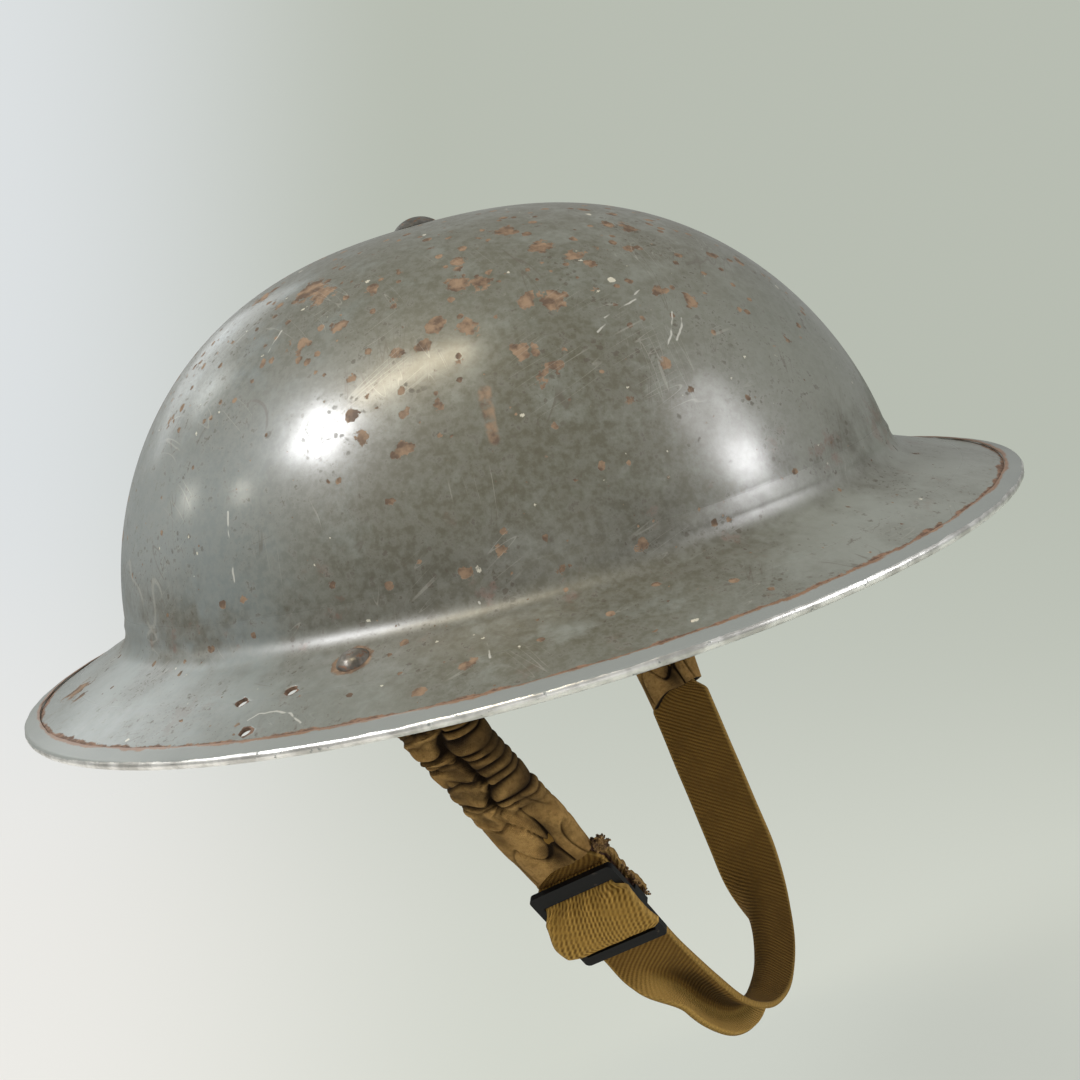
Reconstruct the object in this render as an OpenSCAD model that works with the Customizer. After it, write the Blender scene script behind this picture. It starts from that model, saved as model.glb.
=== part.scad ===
// Pressed-steel civil defence helmet with its liner and sprung chinstrap.
// +X is the wearer's front, +Y the wearer's left, +Z up. The origin is the centre of the
// head opening, in the plane of the rim's front and rear edges.

/* [Shell] */
// Length over the rim, front to rear
rim_l = 310; // [300:1:320]
// Width over the rim, side to side
rim_w = 288; // [278:1:296]
// Length of the bowl where it meets the brim
bowl_l = 242; // [234:1:248]
// Width of the bowl where it meets the brim
bowl_w = 208; // [202:1:216]
// Height of the crown above the rim plane
shell_h = 110; // [104:1:118]
// Height of the crease between bowl and brim at the front
crease_z = 13; // [10:0.5:15]
// Radius of the crease between bowl and brim
crease_r = 8; // [6:0.5:10]
// Thickness of the pressed steel sheet
shell_t = 1; // [0.8:0.1:1.2]
// How much lower the rim lies at the sides than at the front
rim_droop = 1.7; // [0:0.1:3]
// Radius of the crown hole
crown_hole_r = 2.8; // [2.7:0.1:3.2]
// Roundness of the bowl in plan as it closes towards the crown
bowl_round = 0.81; // [0.76:0.01:0.86]
// Fullness of the bowl in height
bowl_rise = 1.15; // [1.1:0.01:1.2]

/* [Rim channel] */
// Thickness of the folded rim strip
rim_strip_t = 0.8; // [0.6:0.1:1]
// Length of each leg of the folded rim strip
rim_leg = 4.4; // [3.5:0.1:5.5]
// Clearance between the rim strip and the sheet
rim_gap = 0.1; // [0.05:0.01:0.15]
// Gap where the two ends of the rim strip meet at the rear
rim_joint = 0.5; // [0.3:0.1:1]

/* [Drilled holes] */
// Radius of the three small holes in the right rear brim
grade_hole_r = 1.6; // [1.2:0.1:2]
// Distance of the rear two holes behind the lug rivet
grade_back = 29; // [26:0.5:32]
// Spacing of the two upper holes
grade_pitch = 14.5; // [12:0.5:16]
// Height of the triangle of holes along the brim
grade_drop = 13; // [11:0.5:14]
// Distance of the two upper holes outside the lug rivet
grade_out = 7.9; // [7:0.1:9]

/* [Lugs] */
// Distance of each lug rivet outside the crease's curve
rivet_out = 3.2; // [3:0.1:6]
// How far the lugs lie behind the middle of the helmet
lug_back = 1; // [0:0.5:6]
// Radius of the rivet's domed head
rivet_head_r = 4.4; // [4:0.1:4.6]
// Height of the rivet's domed head
rivet_head_h = 2.2; // [1.6:0.1:3]
// Radius of the rivet's shank
rivet_r = 2; // [1.6:0.1:2.4]
// Thickness of the lug plate
lug_t = 1.2; // [1:0.1:1.6]
// Width of the lug's base, fore and aft
lug_w = 16; // [14:0.5:20]
// Depth of the eye below the brim
eye_drop = 7.5; // [7:0.1:9]
// Distance of the eye inboard of the rivet
eye_in = 11.1; // [10.5:0.1:12]
// Radius of the lug's eye
eye_r = 3; // [2.8:0.1:3.4]

/* [Chinstrap] */
// Forward lean of the chinstrap as worn, in degrees
strap_lean = 16; // [0:1:24]
// Distance down the strap's plane at which it starts to turn under the chin
strap_straight = 127.5; // [124:0.5:132]
// Half of the strap's width between its sides where it starts to turn
chin_half = 50; // [44:1:54]
// Radius of the wire of the rings
ring_wire_r = 1.3; // [1:0.1:1.5]
// Outer width of the rings
ring_w = 24; // [23:0.5:26]
// Distance between the centres of a ring's upper and lower bars
ring_h = 13; // [11:0.5:15]
// Distance of the spring loop's upper bar below the eye
loop_at = 62; // [60:0.5:66]
// Distance between the centres of the spring loop's bars
loop_h = 8; // [7:0.5:10]

/* [Springs] */
// Mean radius of a spring's coils
coil_r = 3.2; // [2.8:0.1:3.4]
// Radius of the spring wire
coil_wire_r = 0.5; // [0.4:0.05:0.6]
// Outer width of the spring loops, which join the springs to the webbing
loop_w = 18.6; // [17:0.2:20]
// Number of coils in each spring
coil_turns = 12; // [8:1:14]
// Distance between the two springs of a side
coil_spacing = 9.6; // [9:0.1:10.5]

/* [Sleeves] */
// Distance of the sleeve's upper end below the eye
sleeve_start = 16; // [15.5:0.1:18]
// Distance of the sleeve's lower edge below the eye
sleeve_end = 79; // [77:0.5:80]
// Distance below the eye at which the sleeve turns flat
sleeve_flat = 58; // [54:0.5:62]
// Half thickness of the gathered part of the sleeve
sleeve_half_t = 5.4; // [5.2:0.1:6]
// Half thickness of the flat part of the sleeve
sleeve_flat_t = 4.2; // [4.1:0.1:4.8]
// Thickness of the sleeve's cloth at its sides
sleeve_wall = 1.7; // [1.4:0.1:2]
// Length over which the sleeve turns flat
sleeve_turn = 12; // [10:1:16]
// Depth of the gathers
gather_depth = 0.7; // [0.3:0.05:1]
// Number of gathers
gather_count = 9; // [6:1:12]

/* [Webbing] */
// Width of the chinstrap webbing
web_w = 22; // [20:0.5:23]
// Thickness of the webbing
web_t = 1.8; // [1.4:0.1:2]
// Height of the curled rear edge of the webbing at the chin
web_curl = 6; // [2:0.5:8]
// Length of the loose end of the webbing behind the buckle
tail_l = 26; // [22:1:28]

/* [Buckle] */
// Distance of the buckle's upper edge below the eye
buckle_at = 84; // [83.5:0.5:85]
// Length of the buckle along the strap
buckle_l = 29; // [26:0.5:30]
// Width of the buckle
buckle_w = 27; // [26:0.5:29]
// Thickness of the buckle plate
buckle_t = 2; // [1.6:0.1:2.4]
// Width of the buckle's upper bar
buckle_top_bar = 4.5; // [3.5:0.1:5]
// Width of the buckle's lower bar
buckle_low_bar = 3; // [2.5:0.1:3.5]
// Height of the webbing's hump over the middle bar
fold_hump = 2.9; // [2.6:0.1:3.6]

/* [Liner] */
// Room between the headband frame and the bowl's widest outline, front and rear
frame_room_l = 18; // [16:0.5:21]
// Room between the headband frame and the bowl's widest outline, at the sides
frame_room_w = 22; // [20:0.5:24]
// Height of the headband frame
frame_h = 24; // [20:1:26]
// Height of the frame's lower edge above the rim plane
frame_z = 4; // [3:0.5:6]
// Thickness of the frame
frame_t = 1.5; // [1.2:0.1:2]
// Width of the crossed strips
strip_w = 15; // [12:1:18]
// Thickness of the crossed strips
strip_t = 1; // [0.8:0.1:1.4]
// Thickness of the leathercloth
cloth_t = 1.2; // [0.8:0.1:1.4]
// Height of the sweatband above the frame's upper edge
band_rise = 12; // [8:1:16]
// Number of tongues over the head
tongue_count = 8; // [6:1:10]
// Height of the tongues' tips above the rim plane
tongue_z = 84; // [80:1:86]
// Radius of the draw lace
lace_r = 1.2; // [0.8:0.1:1.5]
// Thickness of the crown pad
pad_t = 7; // [5:0.5:8]
// Width of the arms of the crown pad
pad_w = 34; // [28:1:40]
// Length of each arm of the crown pad from the middle
pad_arm = 46; // [38:1:50]
// Height of the rubber buffers
buffer_h = 16; // [12:1:18]
// Height of the buffers' lower edge above the rim plane
buffer_z = 16; // [16:0.5:18]
// Length of each buffer round the frame
buffer_l = 58; // [40:1:64]
// Radius of the hollow in each buffer
buffer_bore_r = 3.2; // [2:0.1:3.6]

/* [Crown screw] */
// Radius of the screw's domed head
screw_head_r = 6.5; // [5:0.1:8]
// Height of the screw's domed head
screw_head_h = 2.6; // [2:0.1:3.5]
// Radius of the screw's shank
screw_r = 2.5; // [2.2:0.1:2.6]
// Thickness of the fibre washer inside the crown
washer_t = 1; // [0.8:0.1:2]
// Thickness of the nut
nut_t = 3; // [2.5:0.1:3.5]

/* [Hidden] */

// Clearance between curved pieces that seat on each other
seat = 0.3;
// Clearance between flat or fitted pieces that touch
touch = 0.1;
around = 72;

// Bowl and brim: half lengths and widths at the crease and over the steel sheet's edge
bowl_a = bowl_l / 2;
bowl_b = bowl_w / 2;
bowl_mean = (bowl_a + bowl_b) / 2;
brim_a = rim_l / 2 - bowl_a;
brim_b = rim_w / 2 - bowl_b;
brim_mean = (brim_a + brim_b) / 2;
brim_slope = atan(crease_z / brim_mean);
rim_round = shell_t / 2 + rim_gap + rim_strip_t;
edge_w = 1 - (rim_round + rim_gap) / brim_mean;
// The bowl's curve springs from a little below the crease
spring_z = crease_z - 1.7;
crease_top = crease_z + crease_r * tan((90 - brim_slope) / 2);

// A profile point is [bowl share, brim share, height]
function bowl_point(u) = [pow(cos(u), bowl_round), 0,
    spring_z + (shell_h - spring_z) * pow(sin(u), bowl_rise)];
function crease_point(a) = [1, crease_r * (1 + cos(a)) / brim_mean, crease_top + crease_r * sin(a)];
function brim_point(w) = [1, w, crease_z * (1 - w)];
hole_u = acos(pow(crown_hole_r / bowl_mean, 1 / bowl_round));
low_u = asin(pow((crease_top + 4 - spring_z) / (shell_h - spring_z), 1 / bowl_rise));
crease_w = crease_r * (1 - sin(brim_slope)) / brim_mean;
bowl_steps = 13;
// The steps lie closer together near the crown
profile = concat(
    [for (i = [0:bowl_steps]) bowl_point(hole_u + (low_u - hole_u) * pow(i / bowl_steps, 1.25))],
    [for (i = [0:3]) crease_point(180 + (90 - brim_slope) * i / 3)],
    [for (i = [1:3]) brim_point(crease_w + (edge_w - crease_w) * i / 3)]);
function flat_point(p) = [bowl_mean * p[0] + brim_mean * p[1], p[2]];
function unit(v) = v / norm(v);
// Upward normal of the profile at point i, in the plane of radius and height
function profile_normal(i) = let (last = len(profile) - 1,
    d = unit(flat_point(profile[min(i + 1, last)]) - flat_point(profile[max(i - 1, 0)])))
    [-d[1], d[0]];
// A point of the shell's surface at angle a, moved by [out, up]
function shell_point(p, a, move = [0, 0]) = [
    (bowl_a * p[0] + brim_a * p[1] + move[0]) * cos(a),
    (bowl_b * p[0] + brim_b * p[1] + move[0]) * sin(a),
    p[2] + move[1] - rim_droop * p[1] * sin(a) * sin(a)];
function shell_ring(p, move = [0, 0]) =
    [for (i = [0:around - 1]) shell_point(p, 360 * i / around, move)];

// Faces of a closed band of rings: rings close on each other and around themselves
function band_faces(rings, sides) = [for (j = [0:rings - 1]) for (i = [0:sides - 1])
    let (a = j * sides + i, b = j * sides + (i + 1) % sides,
        c = ((j + 1) % rings) * sides + (i + 1) % sides, d = ((j + 1) % rings) * sides + i)
    each [[a, b, c], [a, c, d]]];
// Faces of a tube of rings, each of an even number of sides, with a cap at each end whose strips
// join the points of the ring's two halves
function cap_faces(sides, at, turn) = [for (i = [0:sides / 2 - 2])
    let (a = at + i, b = at + i + 1, c = at + sides - 2 - i, d = at + sides - 1 - i)
    each turn ? [[a, d, b], [b, d, c]] : [[a, b, d], [b, c, d]]];
function tube_faces(rings, sides) = concat(
    [for (j = [0:rings - 2]) for (i = [0:sides - 1])
        let (a = j * sides + i, b = j * sides + (i + 1) % sides)
        each [[a, b + sides, b], [a, a + sides, b + sides]]],
    cap_faces(sides, 0, false), cap_faces(sides, (rings - 1) * sides, true));
function flatten(rings) = [for (ring = rings) each ring];

// The lugs: the brim under the rivet and the frame of the strap's eye
rivet_w = crease_w + rivet_out / brim_b;
rivet_y = bowl_b + rivet_w * brim_b;
rivet_z = crease_z * (1 - rivet_w) - rim_droop * rivet_w;
side_slope = atan((crease_z + rim_droop) / brim_b);
eye_y = rivet_y - eye_in * cos(side_slope) - eye_drop * sin(side_slope);
bar_drop = eye_r - ring_wire_r - 0.7;
eye_z = rivet_z + eye_in * sin(side_slope) - eye_drop * cos(side_slope);
hang_y = eye_y - bar_drop * sin(side_slope);
hang_z = eye_z - bar_drop * cos(side_slope);

// The strap runs straight from the eye, then turns under the chin on an arc
splay = atan((hang_y - chin_half) / strap_straight);
straight_l = strap_straight / cos(splay);
chin_r = chin_half / cos(splay);
// Point [across, down] of the strap's middle line at distance d from the right eye
function strap_mid(d) = d < straight_l
    ? [-hang_y + d * sin(splay), -d * cos(splay)]
    : let (a = splay + (d - straight_l) / chin_r * 180 / PI)
    [-chin_r * cos(a), -strap_straight + chin_r * (sin(splay) - sin(a))];
function strap_out(d) = d < straight_l ? [-cos(splay), -sin(splay)]
    : let (a = splay + (d - straight_l) / chin_r * 180 / PI) [-cos(a), -sin(a)];
chin_arc = chin_r * (90 - splay) * PI / 180;

// Distances down the strap
loop_low = loop_at + loop_h;
// The webbing's sewn end: the eye round the spring loop, and the width that fits in the loop
web_eye_r = ring_wire_r + seat + 1.2;
web_top_w = loop_w - 2 * ring_wire_r - 1;
buckle_mid = buckle_at + (buckle_l + buckle_top_bar - buckle_low_bar) / 2;
fold_y = web_t / 2 + seat + web_t / 2;
plate_y = fold_y + web_t / 2 + seat;
mid_bar_r = 1.2;

// The liner's strips rise from the frame to the crown
crown_under = shell_h - shell_t - seat;
fore_top = crown_under - washer_t;
cross_top = fore_top - strip_t - touch;
nut_top = cross_top - strip_t - touch;
arch_z = frame_z + frame_h;
band_top = arch_z + band_rise;
frame_a = bowl_a - frame_room_l;
frame_b = bowl_b - frame_room_w;
crown_flat = 10;
// Half outline of an arch of half width a: flat at the crown, then a quarter ellipse, then upright
function arch_at(a, top, x) = arch_z + (top - arch_z)
    * sqrt(1 - pow(max(0, abs(x) - crown_flat) / (a - crown_flat), 2));
function arch_half(a, top) = [for (u = [0:7.5:90])
    [crown_flat + (a - crown_flat) * cos(u), arch_z + (top - arch_z) * sin(u)]];
function mirrored(line) = [for (i = [len(line) - 1:-1:0]) [-line[i][0], line[i][1]]];
function backwards(line) = [for (i = [len(line) - 1:-1:0]) line[i]];

module at_right_rivet() {
    translate([-lug_back, -rivet_y, rivet_z]) rotate([side_slope, 0, 0]) children();
}
// The strap's plane: X across the width, Y from the right side to the left, -Z down
module strap_plane() {
    translate([-lug_back, 0, hang_z]) rotate([0, -strap_lean, 0]) children();
}
// Along the right strap: X across the width, -Y outward, -Z down from the eye
module on_right_strap() {
    strap_plane() translate([0, -hang_y, 0]) rotate([splay, 0, 0]) children();
}
module left() { mirror([0, 1, 0]) children(); }

module shell() {
    last = len(profile) - 1;
    outer = [for (p = profile) shell_ring(p)];
    inner = [for (i = [last:-1:0]) shell_ring(profile[i], -shell_t * profile_normal(i))];
    color("slategray") difference() {
        polyhedron(flatten(concat(outer, inner)), band_faces(2 * len(profile), around));
        at_right_rivet() rivet_hole();
        left() at_right_rivet() rivet_hole();
        at_right_rivet() for (hole = [[0, 0], [grade_pitch, 0], [grade_pitch / 2 - 1, -grade_drop]])
            translate([hole[0] - grade_back, hole[1] - grade_out, 0])
                cylinder(r = grade_hole_r, h = 20, center = true, $fn = 32);
    }
}
module rivet_hole() {
    cylinder(r = rivet_r + touch, h = 12, center = true, $fn = 32);
}

// The rim: a strip folded round the sheet's edge, from points [along the brim, above it]
module rim_trim() {
    top = rim_gap;
    low = -shell_t - rim_gap;
    section = concat([[-rim_leg, top + rim_strip_t]],
        [for (a = [90:-45:-90]) [rim_gap + rim_round * cos(a), -shell_t / 2 + rim_round * sin(a)]],
        [[-rim_leg, low - rim_strip_t], [-rim_leg, low], [rim_gap, low], [rim_gap, top], [-rim_leg, top]]);
    rings = [for (s = section) shell_ring(brim_point(edge_w + s[0] * cos(brim_slope) / brim_mean),
        s[1] * [sin(brim_slope), cos(brim_slope)])];
    color("lightsteelblue") difference() {
        polyhedron(flatten(rings), band_faces(len(rings), around));
        translate([-rim_l / 2, 0, 0]) cube([4 * rim_leg, rim_joint, 20], center = true);
    }
}

// A dome of radius r and height h, standing on z = 0
module dome(r, h) {
    ball = (r * r + h * h) / (2 * h);
    rotate_extrude($fn = 48) intersection() {
        translate([0, h - ball]) circle(r = ball, $fn = 96);
        square([r, h]);
    }
}

module crown_screw() {
    color("dimgray") difference() {
        union() {
            translate([0, 0, shell_h + touch]) dome(screw_head_r, screw_head_h);
            translate([0, 0, nut_top - nut_t - 1])
                cylinder(r = screw_r, h = shell_h + touch + 0.5 - (nut_top - nut_t - 1), $fn = 48);
        }
        translate([0, 0, shell_h + touch + screw_head_h])
            cube([2 * screw_head_r, 1, 2], center = true);
    }
}
module crown_washer() {
    color("saddlebrown") translate([0, 0, fore_top]) difference() {
        cylinder(r = 8, h = washer_t, $fn = 64);
        screw_hole();
    }
}
module screw_hole() {
    translate([0, 0, -10]) cylinder(r = screw_r + touch, h = 20, $fn = 48);
}
module crown_nut() {
    color("darkgray") translate([0, 0, nut_top - nut_t]) difference() {
        cylinder(r = 6, h = nut_t, $fn = 6);
        screw_hole();
    }
}

// A strip bent to an arch along X, with holes for the crown screw and the frame's rivets
module strip_arch(a, top) {
    foot = frame_z + 6;
    outside = concat([[a, foot]], arch_half(a, top));
    inside = concat([[a - strip_t, foot]], arch_half(a - strip_t, top - strip_t));
    difference() {
        rotate([90, 0, 0]) linear_extrude(strip_w, center = true)
            polygon(concat(outside, mirrored(outside), backwards(mirrored(inside)), backwards(inside)));
        translate([0, 0, top]) screw_hole();
    }
}
module fore_aft_strip() {
    color("silver") difference() {
        strip_arch(frame_a + touch + strip_t, fore_top);
        rivet_bores();
    }
}
module cross_strip() {
    color("silver") difference() {
        rotate([0, 0, 90]) strip_arch(frame_b + touch + strip_t, cross_top);
        rivet_bores();
    }
}

// An upright oval band: its outside lies grow outside the frame's, and its wall is even
oval_sides = 96;
function oval_line(grow) = [for (i = [0:oval_sides - 1]) let (a = 360 * i / oval_sides)
    [(frame_a + grow) * cos(a), (frame_b + grow) * sin(a)]];
module oval_band(grow, wall, z, h) {
    translate([0, 0, z]) linear_extrude(h) difference() {
        polygon(oval_line(grow));
        polygon(oval_line(grow - wall));
    }
}
band_rivet_r = 1.5;
band_head_r = 2.6;
band_head_t = 0.6;
rivet_low = frame_z + 9;
rivet_gap = 9;
strip_out = strip_t + 2 * touch;
// Cylinders through the frame's four ends, from and to given outward of its outside
module frame_rivets(r, from, to) {
    for (side = [0, 180], z = [rivet_low, rivet_low + rivet_gap]) {
        rotate([0, 0, side]) translate([frame_a + from, 0, z])
            rotate([0, 90, 0]) cylinder(r = r, h = to - from, $fn = 32);
        rotate([0, 0, side + 90]) translate([frame_b + from, 0, z])
            rotate([0, 90, 0]) cylinder(r = r, h = to - from, $fn = 32);
    }
}
module rivet_bores() { frame_rivets(band_rivet_r + touch, -2 * frame_t, 2 * strip_out); }
module liner_frame() {
    color("sienna") difference() {
        oval_band(0, frame_t, frame_z, frame_h);
        rivet_bores();
    }
}
module band_rivets() {
    color("darkkhaki") {
        frame_rivets(band_rivet_r, -frame_t - touch, strip_out + band_head_t / 2);
        frame_rivets(band_head_r, strip_out, strip_out + band_head_t);
    }
}

// The sweatband lines the frame and is folded round its lower edge
module sweatband() {
    foot = frame_z - seat - cloth_t;
    turn = seat + cloth_t;
    color("#2b2320") {
        oval_band(-frame_t - seat, cloth_t, foot, band_top - foot);
        oval_band(turn, frame_t + 2 * turn, foot, cloth_t);
        oval_band(turn, cloth_t, foot, cloth_t + seat + 5);
    }
}

// The tongues lean in from the sweatband over the head
tongue_b = frame_b - frame_t - 2 * seat - cloth_t;
tongue_a = frame_a - frame_t - 2 * seat - cloth_t;
tongue_low = band_top - 8;
tongue_rows = 5;
// Half width and height of the tongues' upper face, up from 0 at the band to 1 at the tip
function tongue_at(up) = [tongue_b * pow(cos(66 * up), 0.9),
    tongue_low + (tongue_z - tongue_low) * sin(90 * up)];
function tongue_point(k, across, up, depth) = let (p = tongue_at(up),
    a = 360 * (k + 0.5) / tongue_count + across * (1 - 0.72 * up) * 150 / tongue_count)
    [(p[0] * tongue_a / tongue_b - depth) * cos(a), (p[0] - depth) * sin(a), p[1] - depth * up];
module tongue(k) {
    across = [-1, -0.33, 0.33, 1];
    rings = [for (i = [0:tongue_rows]) concat(
        [for (s = across) tongue_point(k, s, i / tongue_rows, 0)],
        [for (s = across) tongue_point(k, -s, i / tongue_rows, cloth_t)])];
    polyhedron(flatten(rings), tube_faces(len(rings), 2 * len(across)));
}
module liner_tongues() {
    color("#3a302b") for (k = [0:tongue_count - 1]) tongue(k);
}
// The lace lies on the tongues' last fold, near their tips
lace_steps = 48;
lace_sides = 6;
module draw_lace() {
    low = tongue_at(1 - 1 / tongue_rows);
    tip = tongue_at(1);
    run = unit(tip - low);
    centre = (low + tip) / 2 + (lace_r + seat) * [run[1], -run[0]];
    rings = [for (k = [0:lace_sides - 1])
        let (b = -360 * k / lace_sides, out = centre[0] + lace_r * cos(b))
        [for (i = [0:lace_steps - 1]) let (a = 360 * i / lace_steps)
            [(out + centre[0] * (tongue_a / tongue_b - 1)) * cos(a), out * sin(a),
            centre[1] + lace_r * sin(b)]]];
    color("beige") polyhedron(flatten(rings), band_faces(lace_sides, lace_steps));
}

// The crown pad: two crossed arms that follow the strips, with room for the nut
module pad_arms(a, top) {
    line = [for (i = [-8:8]) let (x = pad_arm * i / 8) [x, arch_at(a, top, x)]];
    rotate([90, 0, 0]) linear_extrude(pad_w, center = true)
        polygon(concat(line, [for (p = backwards(line)) [p[0], p[1] - pad_t]]));
}
module crown_pad() {
    pad_top = nut_top - 2 * seat;
    color("#4a3f38") difference() {
        union() {
            pad_arms(frame_a, pad_top);
            rotate([0, 0, 90]) pad_arms(frame_b, pad_top);
        }
        translate([0, 0, nut_top - nut_t - 1 - seat]) cylinder(r = 7, h = 10, $fn = 48);
    }
}

// The bowl's inner half width at height z, from its outer half width at the crease
function bowl_inner(half, z) = let (
    u = asin(pow((z + shell_t - spring_z) / (shell_h - spring_z), 1 / bowl_rise)))
    half * pow(cos(u), bowl_round) - shell_t;
module oval(a, b, z, h) {
    translate([0, 0, z]) scale([a, b, 1]) cylinder(r = 1, h = h, $fn = 128);
}
// A hollow rubber buffer between the frame and the bowl, at angle a round the frame
module buffer(a) {
    out_a = bowl_inner(bowl_a, buffer_z + buffer_h) - seat;
    out_b = bowl_inner(bowl_b, buffer_z + buffer_h) - seat;
    inset = strip_out + band_head_t + seat;
    in_a = frame_a + inset;
    in_b = frame_b + inset;
    color("#222222") intersection() {
        difference() {
            oval(out_a, out_b, buffer_z, buffer_h);
            oval(in_a, in_b, buffer_z - 1, buffer_h + 2);
            translate([0, 0, buffer_z + buffer_h / 2]) scale([(out_a + in_a) / (out_b + in_b), 1, 1])
                rotate_extrude($fn = 128) translate([(out_b + in_b) / 2, 0])
                    circle(r = buffer_bore_r, $fn = 32);
        }
        rotate([0, 0, a]) translate([0, -buffer_l / 2, 0]) cube([rim_l, buffer_l, shell_h]);
    }
}
module buffer_front() { buffer(0); }
module buffer_rear() { buffer(180); }
module buffer_right() { buffer(-90); }
module buffer_left() { buffer(90); }

// A lug: a base riveted under the brim and an ear with a round eye
module right_lug_solid() {
    under = -shell_t - touch;
    at_right_rivet() difference() {
        union() {
            translate([-lug_w / 2, -7, under - lug_t]) cube([lug_w, 7 + eye_in + 2, lug_t]);
            translate([-lug_t / 2, eye_in - eye_r - 2, -eye_drop])
                cube([lug_t, 2 * eye_r + 4, eye_drop + under]);
            translate([0, eye_in, -eye_drop]) rotate([0, 90, 0])
                cylinder(r = eye_r + 2, h = lug_t, center = true, $fn = 64);
        }
        translate([0, eye_in, -eye_drop]) rotate([0, 90, 0])
            cylinder(r = eye_r, h = lug_w, center = true, $fn = 64);
        rivet_hole();
    }
}
module right_lug() { color("gray") right_lug_solid(); }
module left_lug() { color("gray") left() right_lug_solid(); }
module right_lug_rivet_solid() {
    grip = shell_t + lug_t + 2 * touch;
    at_right_rivet() {
        translate([0, 0, touch]) dome(rivet_head_r, rivet_head_h);
        translate([0, 0, -grip - 1]) cylinder(r = rivet_r, h = grip + 1 + touch + 0.3, $fn = 32);
        translate([0, 0, -grip]) mirror([0, 0, 1]) dome(rivet_r + 1.3, 1.2);
    }
}
module right_lug_rivet() { color("#5a4a3c") right_lug_rivet_solid(); }
module left_lug_rivet() { color("#5a4a3c") left() right_lug_rivet_solid(); }

// A wire loop lying in XZ: w wide over the wire, h between its bars, hanging from z = 0
loop_bend = 2.5;
module wire_loop(w, h) {
    x = w / 2 - ring_wire_r;
    for (turn = [[0, 0, 0], [0, 0, 180], [0, 180, 0], [180, 0, 0]])
        translate([0, 0, -h / 2]) rotate(turn) {
            cylinder_along_x(x - loop_bend, h / 2);
            translate([x, 0, 0]) cylinder(r = ring_wire_r, h = h / 2 - loop_bend, $fn = 32);
            translate([x - loop_bend, 0, h / 2 - loop_bend]) rotate([90, 0, 0])
                rotate_extrude(angle = 90, $fn = 64) translate([loop_bend, 0])
                    circle(r = ring_wire_r, $fn = 32);
        }
}
module cylinder_along_x(l, z) {
    translate([0, 0, z]) rotate([0, 90, 0]) cylinder(r = ring_wire_r, h = l, $fn = 32);
}
module right_ring() { color("dimgray") on_right_strap() wire_loop(ring_w, ring_h); }
module left_ring() { left() right_ring(); }
module right_spring_loop() {
    color("dimgray") on_right_strap() translate([0, 0, -loop_at]) wire_loop(loop_w, loop_h);
}
module left_spring_loop() { left() right_spring_loop(); }

// A coil spring hangs from a ring's lower bar: a hook over the bar, the coils, a hook below
hook_r = ring_wire_r + coil_wire_r + seat;
coil_top = ring_h + hook_r + 2;
coil_low = loop_at - hook_r - 2;
coil_steps = 8;
spring_path = concat(
    [for (a = [-140:30:70]) [0, hook_r * sin(a), hook_r * cos(a) - ring_h]],
    [for (i = [0:coil_turns * coil_steps]) let (a = 90 + 360 * i / coil_steps)
        [coil_r * cos(a), coil_r * sin(a),
            -coil_top - (coil_low - coil_top) * i / (coil_turns * coil_steps)]],
    [for (a = [110:30:320]) [0, hook_r * sin(a), hook_r * cos(a) - loop_at]]);
// Least gap between stretches of the spring that lie at least half a coil apart along it
spring_gap = min([for (i = [0:len(spring_path) - 1]) for (j = [i + coil_steps / 2:len(spring_path) - 1])
    norm(spring_path[i] - spring_path[j])]) - 2 * coil_wire_r;
echo(spring_gap = spring_gap);
function tangent(path, i) = unit(path[min(i + 1, len(path) - 1)] - path[max(i - 1, 0)]);
// Side directions carried along the path without twist
function carried(path) = [for (i = 0, v = unit(cross(tangent(path, 0), [1, 0, 0])); i < len(path);
    i = i + 1, v = i < len(path) ? let (t = tangent(path, i)) unit(v - t * (v * t)) : v) v];
function wire_rings(path, r, sides) = let (side = carried(path)) [for (i = [0:len(path) - 1])
    let (t = tangent(path, i), v = side[i], w = cross(t, v))
    [for (k = [0:sides - 1]) path[i] + r * (cos(360 * k / sides) * v + sin(360 * k / sides) * w)]];
module right_springs() {
    rings = wire_rings(spring_path, coil_wire_r, 6);
    color("silver") on_right_strap() for (s = [-1, 1]) translate([s * coil_spacing / 2, 0, 0])
        polyhedron(flatten(rings), tube_faces(len(rings), 6));
}
module left_springs() { left() right_springs(); }

// The cotton sleeve: two gathered channels round the springs, then flat cloth over the webbing
sleeve_half_w = coil_spacing / 2 + coil_r + coil_wire_r + sleeve_wall;
sleeve_sides = 20;
function power(v, n) = sign(v) * pow(abs(v), n);
function smooth(t) = let (c = max(0, min(1, t))) c * c * (3 - 2 * c);
function sleeve_ring(d, full) = let (
    flat = smooth((d - sleeve_flat) / sleeve_turn + 0.5),
    w = sleeve_half_w * (1 - flat) + (loop_w / 2 + seat + sleeve_wall) * flat,
    t = sleeve_half_t * (1 - flat) + sleeve_flat_t * flat)
    [for (k = [0:sleeve_sides - 1]) let (a = -360 * k / sleeve_sides,
        x = power(cos(a), 0.75),
        valley = 1 - 0.22 * (1 - flat) * max(0, 1 - pow(x / 0.42, 2)))
        [x * (w + full * (1 - flat)), power(sin(a), 0.6) * (t + full * (1 - flat)) * valley, -d]];
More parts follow.
